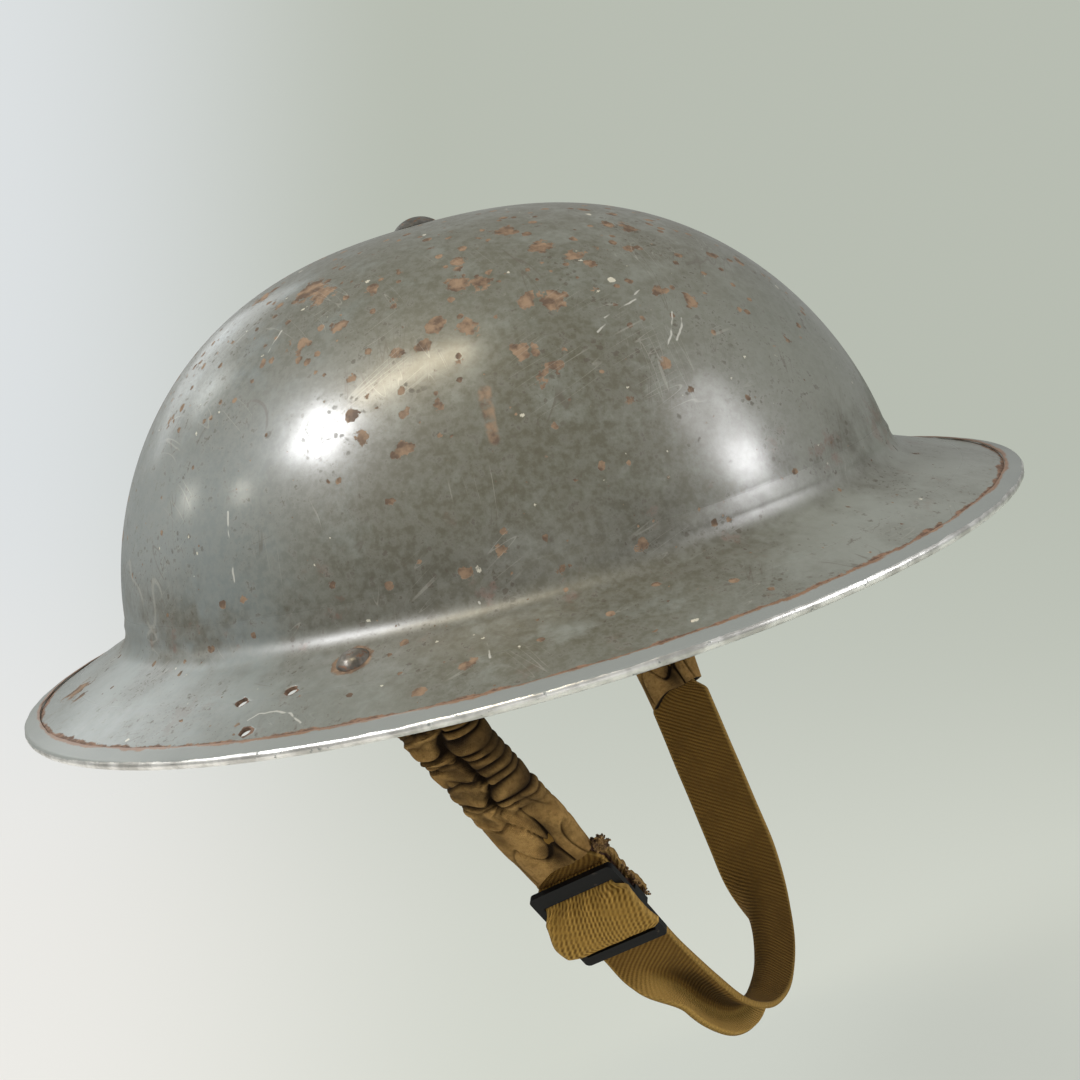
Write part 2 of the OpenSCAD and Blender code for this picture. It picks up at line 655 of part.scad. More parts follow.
module right_sleeve() {
    steps = 2 * gather_count;
    rings = concat(
        [for (i = [0:steps]) sleeve_ring(sleeve_start + (sleeve_flat - sleeve_start) * i / steps,
            i % 2 == 1 ? gather_depth : 0)],
        [for (i = [1:5]) sleeve_ring(sleeve_flat + (sleeve_end - sleeve_flat) * i / 5, 0)]);
    color("#6b4a2b") on_right_strap() difference() {
        polyhedron(flatten(rings), tube_faces(len(rings), sleeve_sides));
        for (s = [-1, 1]) translate([s * coil_spacing / 2, 0, -loop_at + ring_wire_r])
            cylinder(r = coil_r + coil_wire_r + seat, h = loop_at, $fn = 48);
        pocket(loop_w / 2 + seat, web_eye_r + seat, sleeve_flat - 1, loop_low + web_eye_r + 1.5);
        pocket(web_top_w / 2 + seat, web_t / 2 + seat, loop_low, sleeve_end + 1);
    }
}
module pocket(half_w, half_t, from, to) {
    translate([-half_w, -half_t, -to]) cube([2 * half_w, 2 * half_t, to - from]);
}
module left_sleeve() { left() right_sleeve(); }

// The webbing: its right end is sewn round the right spring loop, its left end round the left
web_full = 2 * (straight_l + chin_arc);
web_start = loop_low + web_eye_r - 0.6;
// Lengths over which the webbing widens below the sleeve and its rear edge curls up
web_widen = 6;
curl_run = 30;
// The fold stands past the buckle at both ends, and slides with it before the webbing curls
fold_over = 3;
buckle_travel = 8;
curl_start = buckle_at + buckle_l + fold_over + buckle_travel + 1;
function web_ring(d) = let (
    left_side = d > web_full / 2,
    e = left_side ? web_full - d : d,
    p = strap_mid(e),
    out = strap_out(e),
    s = left_side ? -1 : 1,
    half = (web_top_w + (web_w - web_top_w) * smooth((e - sleeve_end) / web_widen)) / 2,
    curl = web_curl * smooth((d - curl_start) / curl_run)
        * smooth((web_full - d - straight_l) / curl_run),
    line = [[-half, curl], [-half + web_w / 7, curl * 0.35], [-half + web_w / 3, 0], [half, 0]])
    [for (q = concat([for (c = line) [c[0], c[1] - web_t / 2]],
        [for (c = backwards(line)) [c[0], c[1] + web_t / 2]]))
        [q[0], s * (p[0] + q[1] * out[0]), p[1] + q[1] * out[1]]];
module web_end() {
    translate([0, 0, -loop_low]) rotate([0, 90, 0]) difference() {
        cylinder(r = web_eye_r, h = loop_w - 2 * (ring_wire_r + loop_bend) + 1, center = true, $fn = 48);
        cylinder(r = ring_wire_r + seat, h = web_w, center = true, $fn = 48);
    }
}
module webbing() {
    stops = concat([web_start, sleeve_end - 3], [for (d = [sleeve_end:3:sleeve_end + 6]) d],
        [curl_start],
        [for (i = [0:10]) straight_l - web_widen + (web_full / 2 - straight_l + web_widen) * i / 10]);
    half_way = len(stops) - 1;
    all_stops = concat(stops, [for (i = [half_way - 1:-1:0]) web_full - stops[i]]);
    rings = [for (d = all_stops) web_ring(d)];
    color("#a8842c") {
        strap_plane() polyhedron(flatten(rings), tube_faces(len(rings), 8));
        on_right_strap() web_end();
        left() on_right_strap() web_end();
    }
}
// The loose end of the webbing lies behind the buckle and stands out at its front edge
module webbing_tail() {
    top = sleeve_end + 1.5;
    color("#7a5a44") on_right_strap() translate([0, web_t / 2 + seat, 0]) rotate([-90, 0, 0])
        linear_extrude(web_t - 0.2) polygon([[-7, top], [loop_w / 2 + 3, top], [loop_w / 2 + 3, top - 10],
            [loop_w / 2 + 6, top - 11], [loop_w / 2 + 5, top + tail_l - 2], [loop_w / 2, top + tail_l],
            [-7, top + tail_l - 1]]);
}

// The slide buckle: a flat frame with a middle bar set under the webbing's hump
module rounded(w, l, r) {
    translate([-w / 2 + r, 0]) square([w - 2 * r, l]);
    translate([-w / 2, r]) square([w, l - 2 * r]);
    for (x = [-w / 2 + r, w / 2 - r], y = [r, l - r]) translate([x, y]) circle(r = r, $fn = 32);
}
module strap_buckle() {
    rail = (buckle_w - web_w) / 2 - seat;
    window = buckle_w - 2 * rail;
    color("#1c1c1e") on_right_strap() translate([0, 0, -buckle_at]) rotate([90, 0, 0]) {
        translate([0, 0, plate_y]) linear_extrude(buckle_t) mirror([0, 1]) difference() {
            rounded(buckle_w, buckle_l, 1.5);
            translate([-window / 2, buckle_top_bar])
                square([window, buckle_l - buckle_top_bar - buckle_low_bar]);
        }
        for (s = [0, 1]) mirror([s, 0, 0])
            translate([window / 2, buckle_at - buckle_mid - 3, web_t / 2 + seat])
                cube([rail, 6, plate_y - web_t / 2 - seat + buckle_t / 2]);
        translate([0, buckle_at - buckle_mid, web_t / 2 + seat + mid_bar_r]) rotate([0, 90, 0])
            cylinder(r = mid_bar_r, h = window + rail, center = true, $fn = 48);
    }
}
// The doubled end of the webbing weaves under the outer bars and over the middle one
module webbing_fold() {
    low = buckle_at + buckle_top_bar;
    run = buckle_l - buckle_top_bar - buckle_low_bar;
    line = concat([[buckle_at - fold_over, fold_y], [low - 0.5, fold_y]],
        [for (i = [0:12]) [low + run * i / 12, fold_y + fold_hump * pow(sin(15 * i), 2)]],
        [[low + run + 0.5, fold_y], [buckle_at + buckle_l + fold_over, fold_y]]);
    color("#b08a30") on_right_strap() rotate([0, 90, 0]) linear_extrude(web_w - 0.6, center = true)
        polygon(concat([for (p = line) [p[0], -p[1] - web_t / 2]],
            [for (p = backwards(line)) [p[0], -p[1] + web_t / 2]]));
}

shell();
rim_trim();
crown_screw();
crown_washer();
crown_nut();
fore_aft_strip();
cross_strip();
liner_frame();
band_rivets();
sweatband();
liner_tongues();
draw_lace();
crown_pad();
buffer_front();
buffer_rear();
buffer_right();
buffer_left();
right_lug();
left_lug();
right_lug_rivet();
left_lug_rivet();
right_ring();
left_ring();
right_springs();
left_springs();
right_sleeve();
left_sleeve();
right_spring_loop();
left_spring_loop();
webbing();
webbing_tail();
strap_buckle();
webbing_fold();
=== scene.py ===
import math

import bpy
import numpy as np
from mathutils import Matrix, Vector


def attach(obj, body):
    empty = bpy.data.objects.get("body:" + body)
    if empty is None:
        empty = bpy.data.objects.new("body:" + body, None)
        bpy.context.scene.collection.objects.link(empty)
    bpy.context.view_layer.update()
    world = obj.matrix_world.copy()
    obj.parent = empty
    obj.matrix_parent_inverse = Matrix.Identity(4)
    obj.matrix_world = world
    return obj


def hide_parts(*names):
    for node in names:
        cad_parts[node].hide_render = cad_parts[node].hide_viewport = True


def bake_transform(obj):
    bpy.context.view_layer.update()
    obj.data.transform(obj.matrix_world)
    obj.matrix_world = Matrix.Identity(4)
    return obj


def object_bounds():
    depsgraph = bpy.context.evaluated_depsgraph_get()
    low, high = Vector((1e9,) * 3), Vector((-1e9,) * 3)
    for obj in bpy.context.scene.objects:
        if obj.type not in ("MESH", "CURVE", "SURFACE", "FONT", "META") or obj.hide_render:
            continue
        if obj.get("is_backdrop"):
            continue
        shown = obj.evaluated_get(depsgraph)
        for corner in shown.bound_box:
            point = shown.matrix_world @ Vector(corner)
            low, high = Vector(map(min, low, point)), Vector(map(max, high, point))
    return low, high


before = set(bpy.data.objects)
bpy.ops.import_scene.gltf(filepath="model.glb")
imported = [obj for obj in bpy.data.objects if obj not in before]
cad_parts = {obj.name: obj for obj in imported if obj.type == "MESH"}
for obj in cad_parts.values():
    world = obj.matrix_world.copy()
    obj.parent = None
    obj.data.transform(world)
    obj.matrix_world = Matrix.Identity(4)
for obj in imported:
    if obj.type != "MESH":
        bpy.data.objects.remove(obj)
cad_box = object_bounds()

# ---- Camera, floor and lamps ----
# The helmet hangs over a plain pale floor, seen from its front right and a little above, and the
# camera is rolled because the helmet was photographed tilted up at the front.


def added(name, data):
    """Puts a new object with the given mesh, lamp or camera into the scene."""
    made = bpy.data.objects.new(name, data)
    bpy.context.scene.collection.objects.link(made)
    return made


def aimed(name, data, across, up, back, at):
    """Adds a camera or lamp whose own three axes point along the given directions, at a place in metres."""
    made, turned = added(name, data), np.eye(4)
    turned[:3] = np.stack([across, up, back, at], 1)
    made.matrix_world = Matrix(turned.tolist())
    return made


camera = bpy.data.cameras.new("camera")
camera.lens, camera.sensor_width = 53.33, 36.0
camera.clip_start, camera.clip_end = 0.01, 60.0
right, down, ahead = (np.array(v) for v in ((0.91737, 0.29932, -0.26237), (-0.19305, -0.24186, -0.95091),
                                            (-0.34808, 0.92299, -0.16409)))
EYE = (0.18231, -0.45218, 0.08954)
bpy.context.scene.camera = aimed("camera", camera, right, -down, -ahead, EYE)
bpy.context.scene.view_settings.view_transform = "Standard"


class Value:
    """One output of a shader node. Arithmetic on it adds Math nodes to its tree, and an index gives another
    output of its node."""

    def __init__(self, tree, node, output=0):
        self.tree, self.node, self.socket = tree, node, node.outputs[output]

    def __getitem__(self, output):
        return Value(self.tree, self.node, output)

    def __add__(self, other):
        return put(self.tree, "Math", {0: self, 1: other}, operation="ADD")

    def __sub__(self, other):
        return put(self.tree, "Math", {0: self, 1: other}, operation="SUBTRACT")

    def __mul__(self, other):
        return put(self.tree, "Math", {0: self, 1: other}, operation="MULTIPLY")

    def __abs__(self):
        return put(self.tree, "Math", {0: self}, operation="ABSOLUTE")


def put(tree, kind, inputs=(), **settings):
    """Adds one shader node, sets its settings, joins or sets its inputs, and gives its first output."""
    made = tree.nodes.new("ShaderNode" + kind)
    for key, value in settings.items():
        setattr(made, key, value)
    for key, value in dict(inputs).items():
        if isinstance(value, Value):
            tree.links.new(value.socket, made.inputs[key])
        elif made.inputs[key].type == "RGBA":
            made.inputs[key].default_value = (*value, 1.0)
        else:
            made.inputs[key].default_value = value
    return Value(tree, made) if made.outputs else made


def most(a, b):
    """The larger of two values."""
    return put(b.tree, "Math", {0: a, 1: b}, operation="MAXIMUM")


def vector(operation, a, b=(0.0, 0.0, 0.0)):
    """One step on two vectors; a dot product, a distance and a length give a number."""
    made = put(a.tree, "VectorMath", {0: a, 1: b}, operation=operation)
    return made["Value"] if operation in ("DOT_PRODUCT", "DISTANCE", "LENGTH") else made


def mix(share, a, b):
    """Colour that goes from a to b as share goes from 0 to 1."""
    return put(share.tree, "Mix", {0: share, 6: a, 7: b}, data_type="RGBA")[2]


def ramp(value, low, high, out_low=0.0, out_high=1.0):
    """Value that rises smoothly from out_low to out_high as the given one goes from low to high."""
    return put(value.tree, "MapRange", {0: value, 1: low, 2: high, 3: out_low, 4: out_high},
               interpolation_type="SMOOTHSTEP")


def backdrop(aim):
    """The pale wall's colour in a direction from the camera: lighter and cooler on the left, greener on the
    right, and lightest at the lower left."""
    across, low = vector("DOT_PRODUCT", aim, tuple(right)), vector("DOT_PRODUCT", aim, tuple(down))
    wall = mix(ramp(across, -0.34, -0.06), (0.725, 0.755, 0.770), (0.478, 0.510, 0.445))
    foot = mix(ramp(across, -0.34, 0.02), (0.84, 0.83, 0.80), (0.625, 0.650, 0.590))
    return mix(ramp(low, -0.06, 0.25), wall, foot)


FLOOR_Z, FLOOR_R = -0.30, 9.0
pale = bpy.data.materials.new("pale floor")
pale.use_nodes = True
tree = pale.node_tree
tree.nodes.clear()
here = put(tree, "TexCoord")["Object"]
wall = backdrop(vector("NORMALIZE", vector("SUBTRACT", here, EYE)))
lit = put(tree, "BsdfDiffuse", {"Color": wall})
glow = put(tree, "Emission", {"Color": wall, "Strength": 1.0})
share = put(tree, "LightPath") * ramp(vector("LENGTH", here), 0.30, 1.2, 0.70, 1.0)
put(tree, "OutputMaterial", {0: put(tree, "MixShader", {0: share, 1: lit, 2: glow})})
around = np.linspace(0, 2 * np.pi, 96, endpoint=False)
disc = np.stack([FLOOR_R * np.cos(around), FLOOR_R * np.sin(around), np.full(96, FLOOR_Z)], 1)
mesh = bpy.data.meshes.new("floor")
mesh.from_pydata(disc.tolist(), [], [list(range(96))])
mesh.materials.append(pale)
floor = added("floor", mesh)
floor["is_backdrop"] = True

world = bpy.data.worlds.new("studio")
bpy.context.scene.world = world
world.use_nodes = True
tree = world.node_tree
tree.nodes.clear()
seen = put(tree, "LightPath")
shown = most(seen["Is Camera Ray"], seen["Is Transmission Ray"])
behind = put(tree, "Background", {"Color": backdrop(put(tree, "TexCoord")["Generated"]), "Strength": 1.0})
soft = put(tree, "Background", {"Color": (0.82, 0.84, 0.81), "Strength": 0.40})
put(tree, "OutputWorld", {0: put(tree, "MixShader", {0: shown, 1: soft, 2: behind})})


def lamp(name, direction, distance, size, power, colour, along=None):
    """A flat rectangular lamp in a direction from the bowl's middle, turned to face it, its first side level
    or along a given direction."""
    data = bpy.data.lights.new(name, "AREA")
    data.shape, data.size, data.size_y, data.energy, data.color = "RECTANGLE", size[0], size[1], power, colour
    out = np.array(direction) / np.linalg.norm(direction)
    across = np.cross([0.0, 0.0, 1.0], out) if along is None else np.array(along) - out * (out @ along)
    across /= np.linalg.norm(across)
    aimed(name, data, across, np.cross(out, across), out, np.array([0, -0.03, 0.05]) + distance * out)


cool_white, cream = (0.98, 0.98, 1.0), (1.0, 0.97, 0.85)
lamp("key", (-0.496, -0.492, 0.715), 1.5, (0.36, 0.34), 17.0, (0.97, 0.98, 1.0))
lamp("overhead", (-0.14, -0.388, 0.911), 1.5, (0.74, 0.15), 7.8, (1.0, 0.89, 0.66), (0.60, 0.175, 0.23))
lamp("window", (0.973, -0.116, 0.201), 1.6, (0.32, 0.34), 6.5, cool_white)
lamp("curtain", (0.920, -0.10, 0.375), 1.6, (0.56, 0.70), 8.0, cool_white)
lamp("wall", (-0.72, 0.56, 0.42), 1.8, (0.85, 0.60), 1.9, (0.93, 0.98, 1.0))
lamp("doorway", (-0.78, 0.28, 0.55), 1.8, (0.26, 0.30), 0.9, (0.95, 1.0, 0.98))
lamp("spot rear", (-0.927, -0.045, 0.371), 1.8, (0.08, 0.08), 0.50, cream)
lamp("spot front", (-0.799, -0.358, 0.483), 1.8, (0.08, 0.08), 0.85, cream)
lamp("front", (0.35, -0.93, 0.05), 2.2, (1.4, 1.0), 3.2, (1.0, 0.98, 0.94))

# ---- Steel shell ----
# One sheet of manganese steel, 1 mm thick, drawn in a press to a bowl with a flared brim and painted
# grey; three small holes drilled in its right rear brim mark its grade.
MM = 0.001
BOWL = (121.0, 104.0)
RIM = (155.0, 144.0)
SHEET = 1.0
BRIM = (RIM[0] - BOWL[0], RIM[1] - BOWL[1])
BOWL_MEAN, BRIM_MEAN = sum(BOWL) / 2, sum(BRIM) / 2
CROWN_Z, CREASE_Z, CREASE_R, SPRING_Z, DROOP = 110.0, 13.0, 8.0, 11.3, 1.7
SLOPE = math.atan(CREASE_Z / BRIM_MEAN)
CREASE_TOP = CREASE_Z + CREASE_R * math.tan((math.pi / 2 - SLOPE) / 2)
EDGE = 1 - 1.5 / BRIM_MEAN


def surface(name, points, wrap_rows=False, wrap_cols=False, uv=None, flip=False, caps=False):
    """A smooth mesh over one or more grids of points in millimetres, rows by columns, whose rows or columns
    may close on themselves. uv gives a texture coordinate for each row and each column; the column's comes
    first. caps closes the first and last rows by joining each point to the one as far from the other end."""
    rows, cols = points.shape[-3:-1]
    r, c = np.meshgrid(np.arange(rows - (not wrap_rows)), np.arange(cols - (not wrap_cols)), indexing="ij")
    r, c = r.reshape(-1, 1) + [0, 1, 1, 0], c.reshape(-1, 1) + [0, 0, 1, 1]
    if caps:
        i = np.arange(cols // 2 - 1)
        ends = np.stack([i, i + 1, cols - 2 - i, cols - 1 - i], 1)
        r = np.concatenate([r, 0 * ends, 0 * ends + rows - 1])
        c = np.concatenate([c, ends, ends[:, ::-1]])
    if flip:
        r, c = r[:, ::-1], c[:, ::-1]
    points = points.reshape(-1, rows * cols, 3) * MM
    faces = np.concatenate([(r % rows) * cols + c % cols + k * rows * cols for k in range(len(points))])
    made = bpy.data.meshes.new(name)
    made.vertices.add(points.size // 3)
    made.vertices.foreach_set("co", points.ravel())
    made.loops.add(faces.size)
    made.loops.foreach_set("vertex_index", faces.ravel())
    made.polygons.add(len(faces))
    made.polygons.foreach_set("loop_start", np.arange(0, faces.size, 4))
    made.polygons.foreach_set("loop_total", np.full(len(faces), 4))
    made.polygons.foreach_set("use_smooth", np.ones(len(faces), bool))
    if uv is not None:
        along = np.stack([np.asarray(uv[1])[c], np.asarray(uv[0])[r]], -1)
        made.uv_layers.new(name="UVMap").data.foreach_set("uv", np.tile(along.ravel(), len(points)))
    made.update(calc_edges=True)
    made.validate()
    return added(name, made)


def mark(piece, name, values):
    """Stores one number per point on a piece, for its material."""
    stored_in = piece.data.attributes.new(name, "FLOAT", "POINT").data
    stored_in.foreach_set("value", values.ravel().astype(np.float32))


def bowl_and_brim(point, angle, out=0.0, up=0.0):
    """Place on the helmet of a profile point (bowl share, brim share, height): the bowl's half axes times
    the first share plus the brim's times the second, round the oval, less the rim's droop at the sides."""
    c, s = np.cos(angle), np.sin(angle)
    x = (BOWL[0] * point[0] + BRIM[0] * point[1] + out) * c
    y = (BOWL[1] * point[0] + BRIM[1] * point[1] + out) * s
    z = point[2] + up - DROOP * point[1] * s ** 2
    return np.stack(np.broadcast_arrays(x, y, z), -1)


def shell_profile(steps, hole=2.8):
    """Profile from the crown hole to the sheet's edge: the bowl's radius is a cosine to the power 0.81 and
    its height a sine to the power 1.15, then an arc for the crease and a straight brim."""
    top = math.acos((hole / BOWL_MEAN) ** (1 / 0.81))
    low = math.asin(((CREASE_TOP + 2.5 - SPRING_Z) / (CROWN_Z - SPRING_Z)) ** (1 / 1.15))
    u = top + (low - top) * np.linspace(0, 1, steps[0]) ** 1.15
    bowl = np.stack([np.cos(u) ** 0.81, 0 * u, SPRING_Z + (CROWN_Z - SPRING_Z) * np.sin(u) ** 1.15], 1)
    a = np.pi + (np.pi / 2 - SLOPE) * np.linspace(0, 1, steps[1])
    crease = np.stack([1 + 0 * a, CREASE_R * (1 + np.cos(a)) / BRIM_MEAN,
                       CREASE_TOP + CREASE_R * np.sin(a)], 1)
    w = np.linspace(crease[-1, 1], EDGE, steps[2] + 1)[1:]
    brim = np.stack([1 + 0 * w, w, CREASE_Z * (1 - w)], 1)
    return np.concatenate([bowl, crease, brim])


def beside(profile, depth):
    """Offsets [out, up] of a profile's points by depth against its upward normal."""
    flat = np.stack([BOWL_MEAN * profile[:, 0] + BRIM_MEAN * profile[:, 1], profile[:, 2]], 1)
    run = np.gradient(flat, axis=0)
    run /= np.linalg.norm(run, axis=1)[:, None]
    return depth * run[:, 1], -depth * run[:, 0]


turn = np.linspace(0, 2 * np.pi, 360, endpoint=False)
outside = shell_profile((92, 10, 22))
inside = shell_profile((50, 7, 9))[::-1]
shift_out, shift_up = beside(inside, -SHEET)
at = np.concatenate([bowl_and_brim(outside.T[:, :, None], turn[None]),
                     bowl_and_brim(inside.T[:, :, None], turn[None], shift_out[:, None], shift_up[:, None])])
shell = surface("steel_shell", at, wrap_rows=True, wrap_cols=True, flip=True)
edge_mm = np.concatenate([(EDGE - outside[:, 1]) * BRIM_MEAN, np.full(len(inside), 99.0)])
mark(shell, "from_edge", np.broadcast_to(edge_mm[:, None], at.shape[:2]))

# Chips knocked out of the paint: x, y, z and radius in millimetres
chips = np.array([
    (-15, -51, 99, 5.0), (-9, -55, 97, 4.2), (-36, -38, 101, 3.6), (-1, -69, 88, 2.6), (7, -60, 95, 3.0),
    (31, -60, 90, 3.6), (37, -60, 89, 3.6), (27, -71, 82, 3.2), (35, -71, 79, 3.4), (50, -62, 82, 3.0),
    (55, -60, 80, 3.2), (65, -53, 79, 2.2), (69, -21, 93, 3.6), (50, -43, 94, 3.2), (30, -52, 96, 2.6),
    (17, -77, 78, 2.0), (48, -73, 70, 2.8), (52, -77, 63, 2.8), (56, -74, 64, 2.2), (28, -86, 63, 2.0),
    (19, -87, 63, 1.8), (18, -92, 55, 2.6), (13, -97, 44, 1.8), (38, -97, 26, 2.0), (29, -100, 23, 2.2),
    (51, -94, 17, 2.6), (-12, -70, 86, 2.4), (5, -81, 75, 2.0), (22, -129, 3, 2.0), (32, -121, 6, 2.2),
    (-114, -70, 6, 6.0), (-108, -78, 5, 3.0), (59, -44, 89, 3.4), (40, -37, 100, 3.6), (79, -44, 75, 2.4),
    (85, -41, 70, 2.2), (7, -90, 60, 2.4), (5, -87, 66, 2.4), (32, -78, 72, 2.2), (-34, -98, 27, 1.6),
    (-49, -95, 15, 2.0), (-20, -102, 19, 1.4), (69, -85, 18, 2.0), (93, -5, 75, 2.6), (20, 40, 101, 4.5),
    (-40, 30, 99, 4.0), (60, 35, 91, 3.8), (-70, -10, 88, 4.2), (-60, 55, 79, 3.5), (10, 75, 83, 4.0),
    (-95, 20, 68, 3.2), (85, 55, 52, 3.4), (-20, 92, 58, 3.0), (-120, 60, 7, 4.5), (60, 118, 6, 4.0)])
reach = np.full(at.shape[:2], -9.0)
for x, y, z, size in chips:
    reach = np.maximum(reach, 1 - np.linalg.norm(at - (x, y, z), axis=2) / (1.5 * size))
reach[len(outside):] = -9.0
mark(shell, "chip", reach)

# Three small holes, placed from the lug rivet's place on the brim
SIDE = math.atan((CREASE_Z + DROOP) / BRIM[1])
HOLE_R, DRILL, DRILL_AT = 1.6, 10, (-1, -112.98, 9.7)
ring = np.linspace(0, 2 * np.pi, 32, endpoint=False)
cutters = []
for along, lower in ((-29, -7.9), (-14.5, -7.9), (-22.75, -20.9)):
    ends = []
    for high in (-DRILL, DRILL):
        y, z = HOLE_R * np.sin(ring) + lower, 0 * ring + high
        ends.append(np.stack([HOLE_R * np.cos(ring) + along, y * math.cos(SIDE) - z * math.sin(SIDE),
                              y * math.sin(SIDE) + z * math.cos(SIDE)], 1) + DRILL_AT)
    cutters.append(surface("drill", np.stack(ends), wrap_cols=True, caps=True, flip=True))
    cutters[-1].data.shade_flat()
    bore = shell.modifiers.new("hole", "BOOLEAN")
    bore.operation, bore.object, bore.solver = "DIFFERENCE", cutters[-1], "EXACT"
bored = bpy.data.meshes.new_from_object(shell.evaluated_get(bpy.context.evaluated_depsgraph_get()))
shell.modifiers.clear()
shell.data = bored
for drill in cutters:
    bpy.data.objects.remove(drill)
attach(shell, "helmet")
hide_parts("shell")


def surface_of(name, metallic, roughness, **sockets):
    """A new material with one principled shader, whose even values are set on its own sockets; gives it with
    the shader's inputs and the places that its patterns are laid out by."""
    made = bpy.data.materials.new(name)
    made.use_nodes = True
    inputs = made.node_tree.nodes["Principled BSDF"].inputs
    for key, value in {"Metallic": metallic, "Roughness": roughness, **sockets}.items():
        inputs[key.replace("_", " ")].default_value = value
    return made, inputs, put(made.node_tree, "TexCoord")


def lead(inputs, **values):
    """Leads worked-out values into a shader's inputs."""
    for key, value in values.items():
        value.tree.links.new(value.socket, inputs[key.replace("_", " ")])


def raised(inputs, height, strength, distance):
    """Bump from a height value, in metres of distance."""
    bump = put(height.tree, "Bump", {"Height": height, "Strength": strength, "Distance": distance})
    lead(inputs, Normal=bump)


def stored(where, name):
    """The number that mark stored on the piece's points."""
    return put(where.tree, "Attribute", attribute_name=name)["Fac"]


def split(place):
    """The three parts of a place, as outputs X, Y and Z."""
    return put(place.tree, "SeparateXYZ", {0: place})


def grain(place, scale, detail=3.0, rough=0.55):
    """Smooth random value about 0.5 over the given coordinates."""
    return put(place.tree, "TexNoise", {"Vector": place, "Scale": scale, "Detail": detail,
                                        "Roughness": rough})


def flaked(place, ragged, scale, rare, size):
    """Ragged chips, at most one to each cell of a scattered grid and only in the rarest cells: a chip reaches
    as far as the cell's own random value allows, plus or minus the ragged noise."""
    cell = put(place.tree, "TexVoronoi", {"Vector": place, "Scale": scale})
    reach = ramp(split(cell["Color"])["X"], rare, 1.0, 0.0, size)
    return ramp(reach - (cell["Distance"] + (ragged - 0.5) * 1.1), 0.0, 0.05)


def hairlines(place, *runs):
    """Fine scratches in two directions: where a noise stretched along each passes its middle value, kept to
    patches. A run gives its turn, the gap between its scratches and how fine its patches are."""
    made = []
    for turned, gap, patch in runs:
        lain = put(place.tree, "Mapping", {0: place, 2: turned, 3: (gap, 14 * gap, 14 * gap)},
                   vector_type="TEXTURE")
        off = abs(grain(lain, 1.0, 0.0) - 0.5)
        made.append(ramp(off, 0.012, 0.004) * ramp(grain(place, patch, 1.0), 0.58, 0.66))
    return most(*made)


# Scratches in the paint: x, y and z of both ends in metres, half width, and 1 where pale or 0 where rusty
SCRATCHES = ((0.0389, -0.0821, 0.063, 0.0403, -0.088, 0.0515, 0.0016, 0),
             (0.0656, -0.0632, 0.0694, 0.0745, -0.0471, 0.0763, 0.00027, 1),
             (0.0669, -0.0594, 0.0722, 0.0738, -0.0507, 0.0743, 0.00027, 1),
             (0.0806, -0.0568, 0.0615, 0.0818, -0.048, 0.0688, 0.00027, 1),
             (0.0823, -0.0544, 0.0621, 0.0837, -0.0479, 0.0667, 0.0003, 1),
             (-0.0357, -0.0903, 0.0494, -0.0365, -0.0967, 0.0299, 0.0003, 1),
             (0.030, -0.1006, 0.0157, 0.0371, -0.1196, 0.0056, 0.0003, 1),
             (-0.0248, -0.1279, 0.0035, -0.0221, -0.1263, 0.0042, 0.0003, 1),
             (-0.0221, -0.1263, 0.0042, -0.0169, -0.1270, 0.0042, 0.0003, 1),
             (-0.0169, -0.1270, 0.0042, -0.0117, -0.1295, 0.0035, 0.0003, 1),
             (-0.0117, -0.1295, 0.0035, -0.0078, -0.1332, 0.0022, 0.0003, 1),
             (-0.0234, -0.0674, 0.0862, -0.0196, -0.0628, 0.0908, 0.0003, 1))


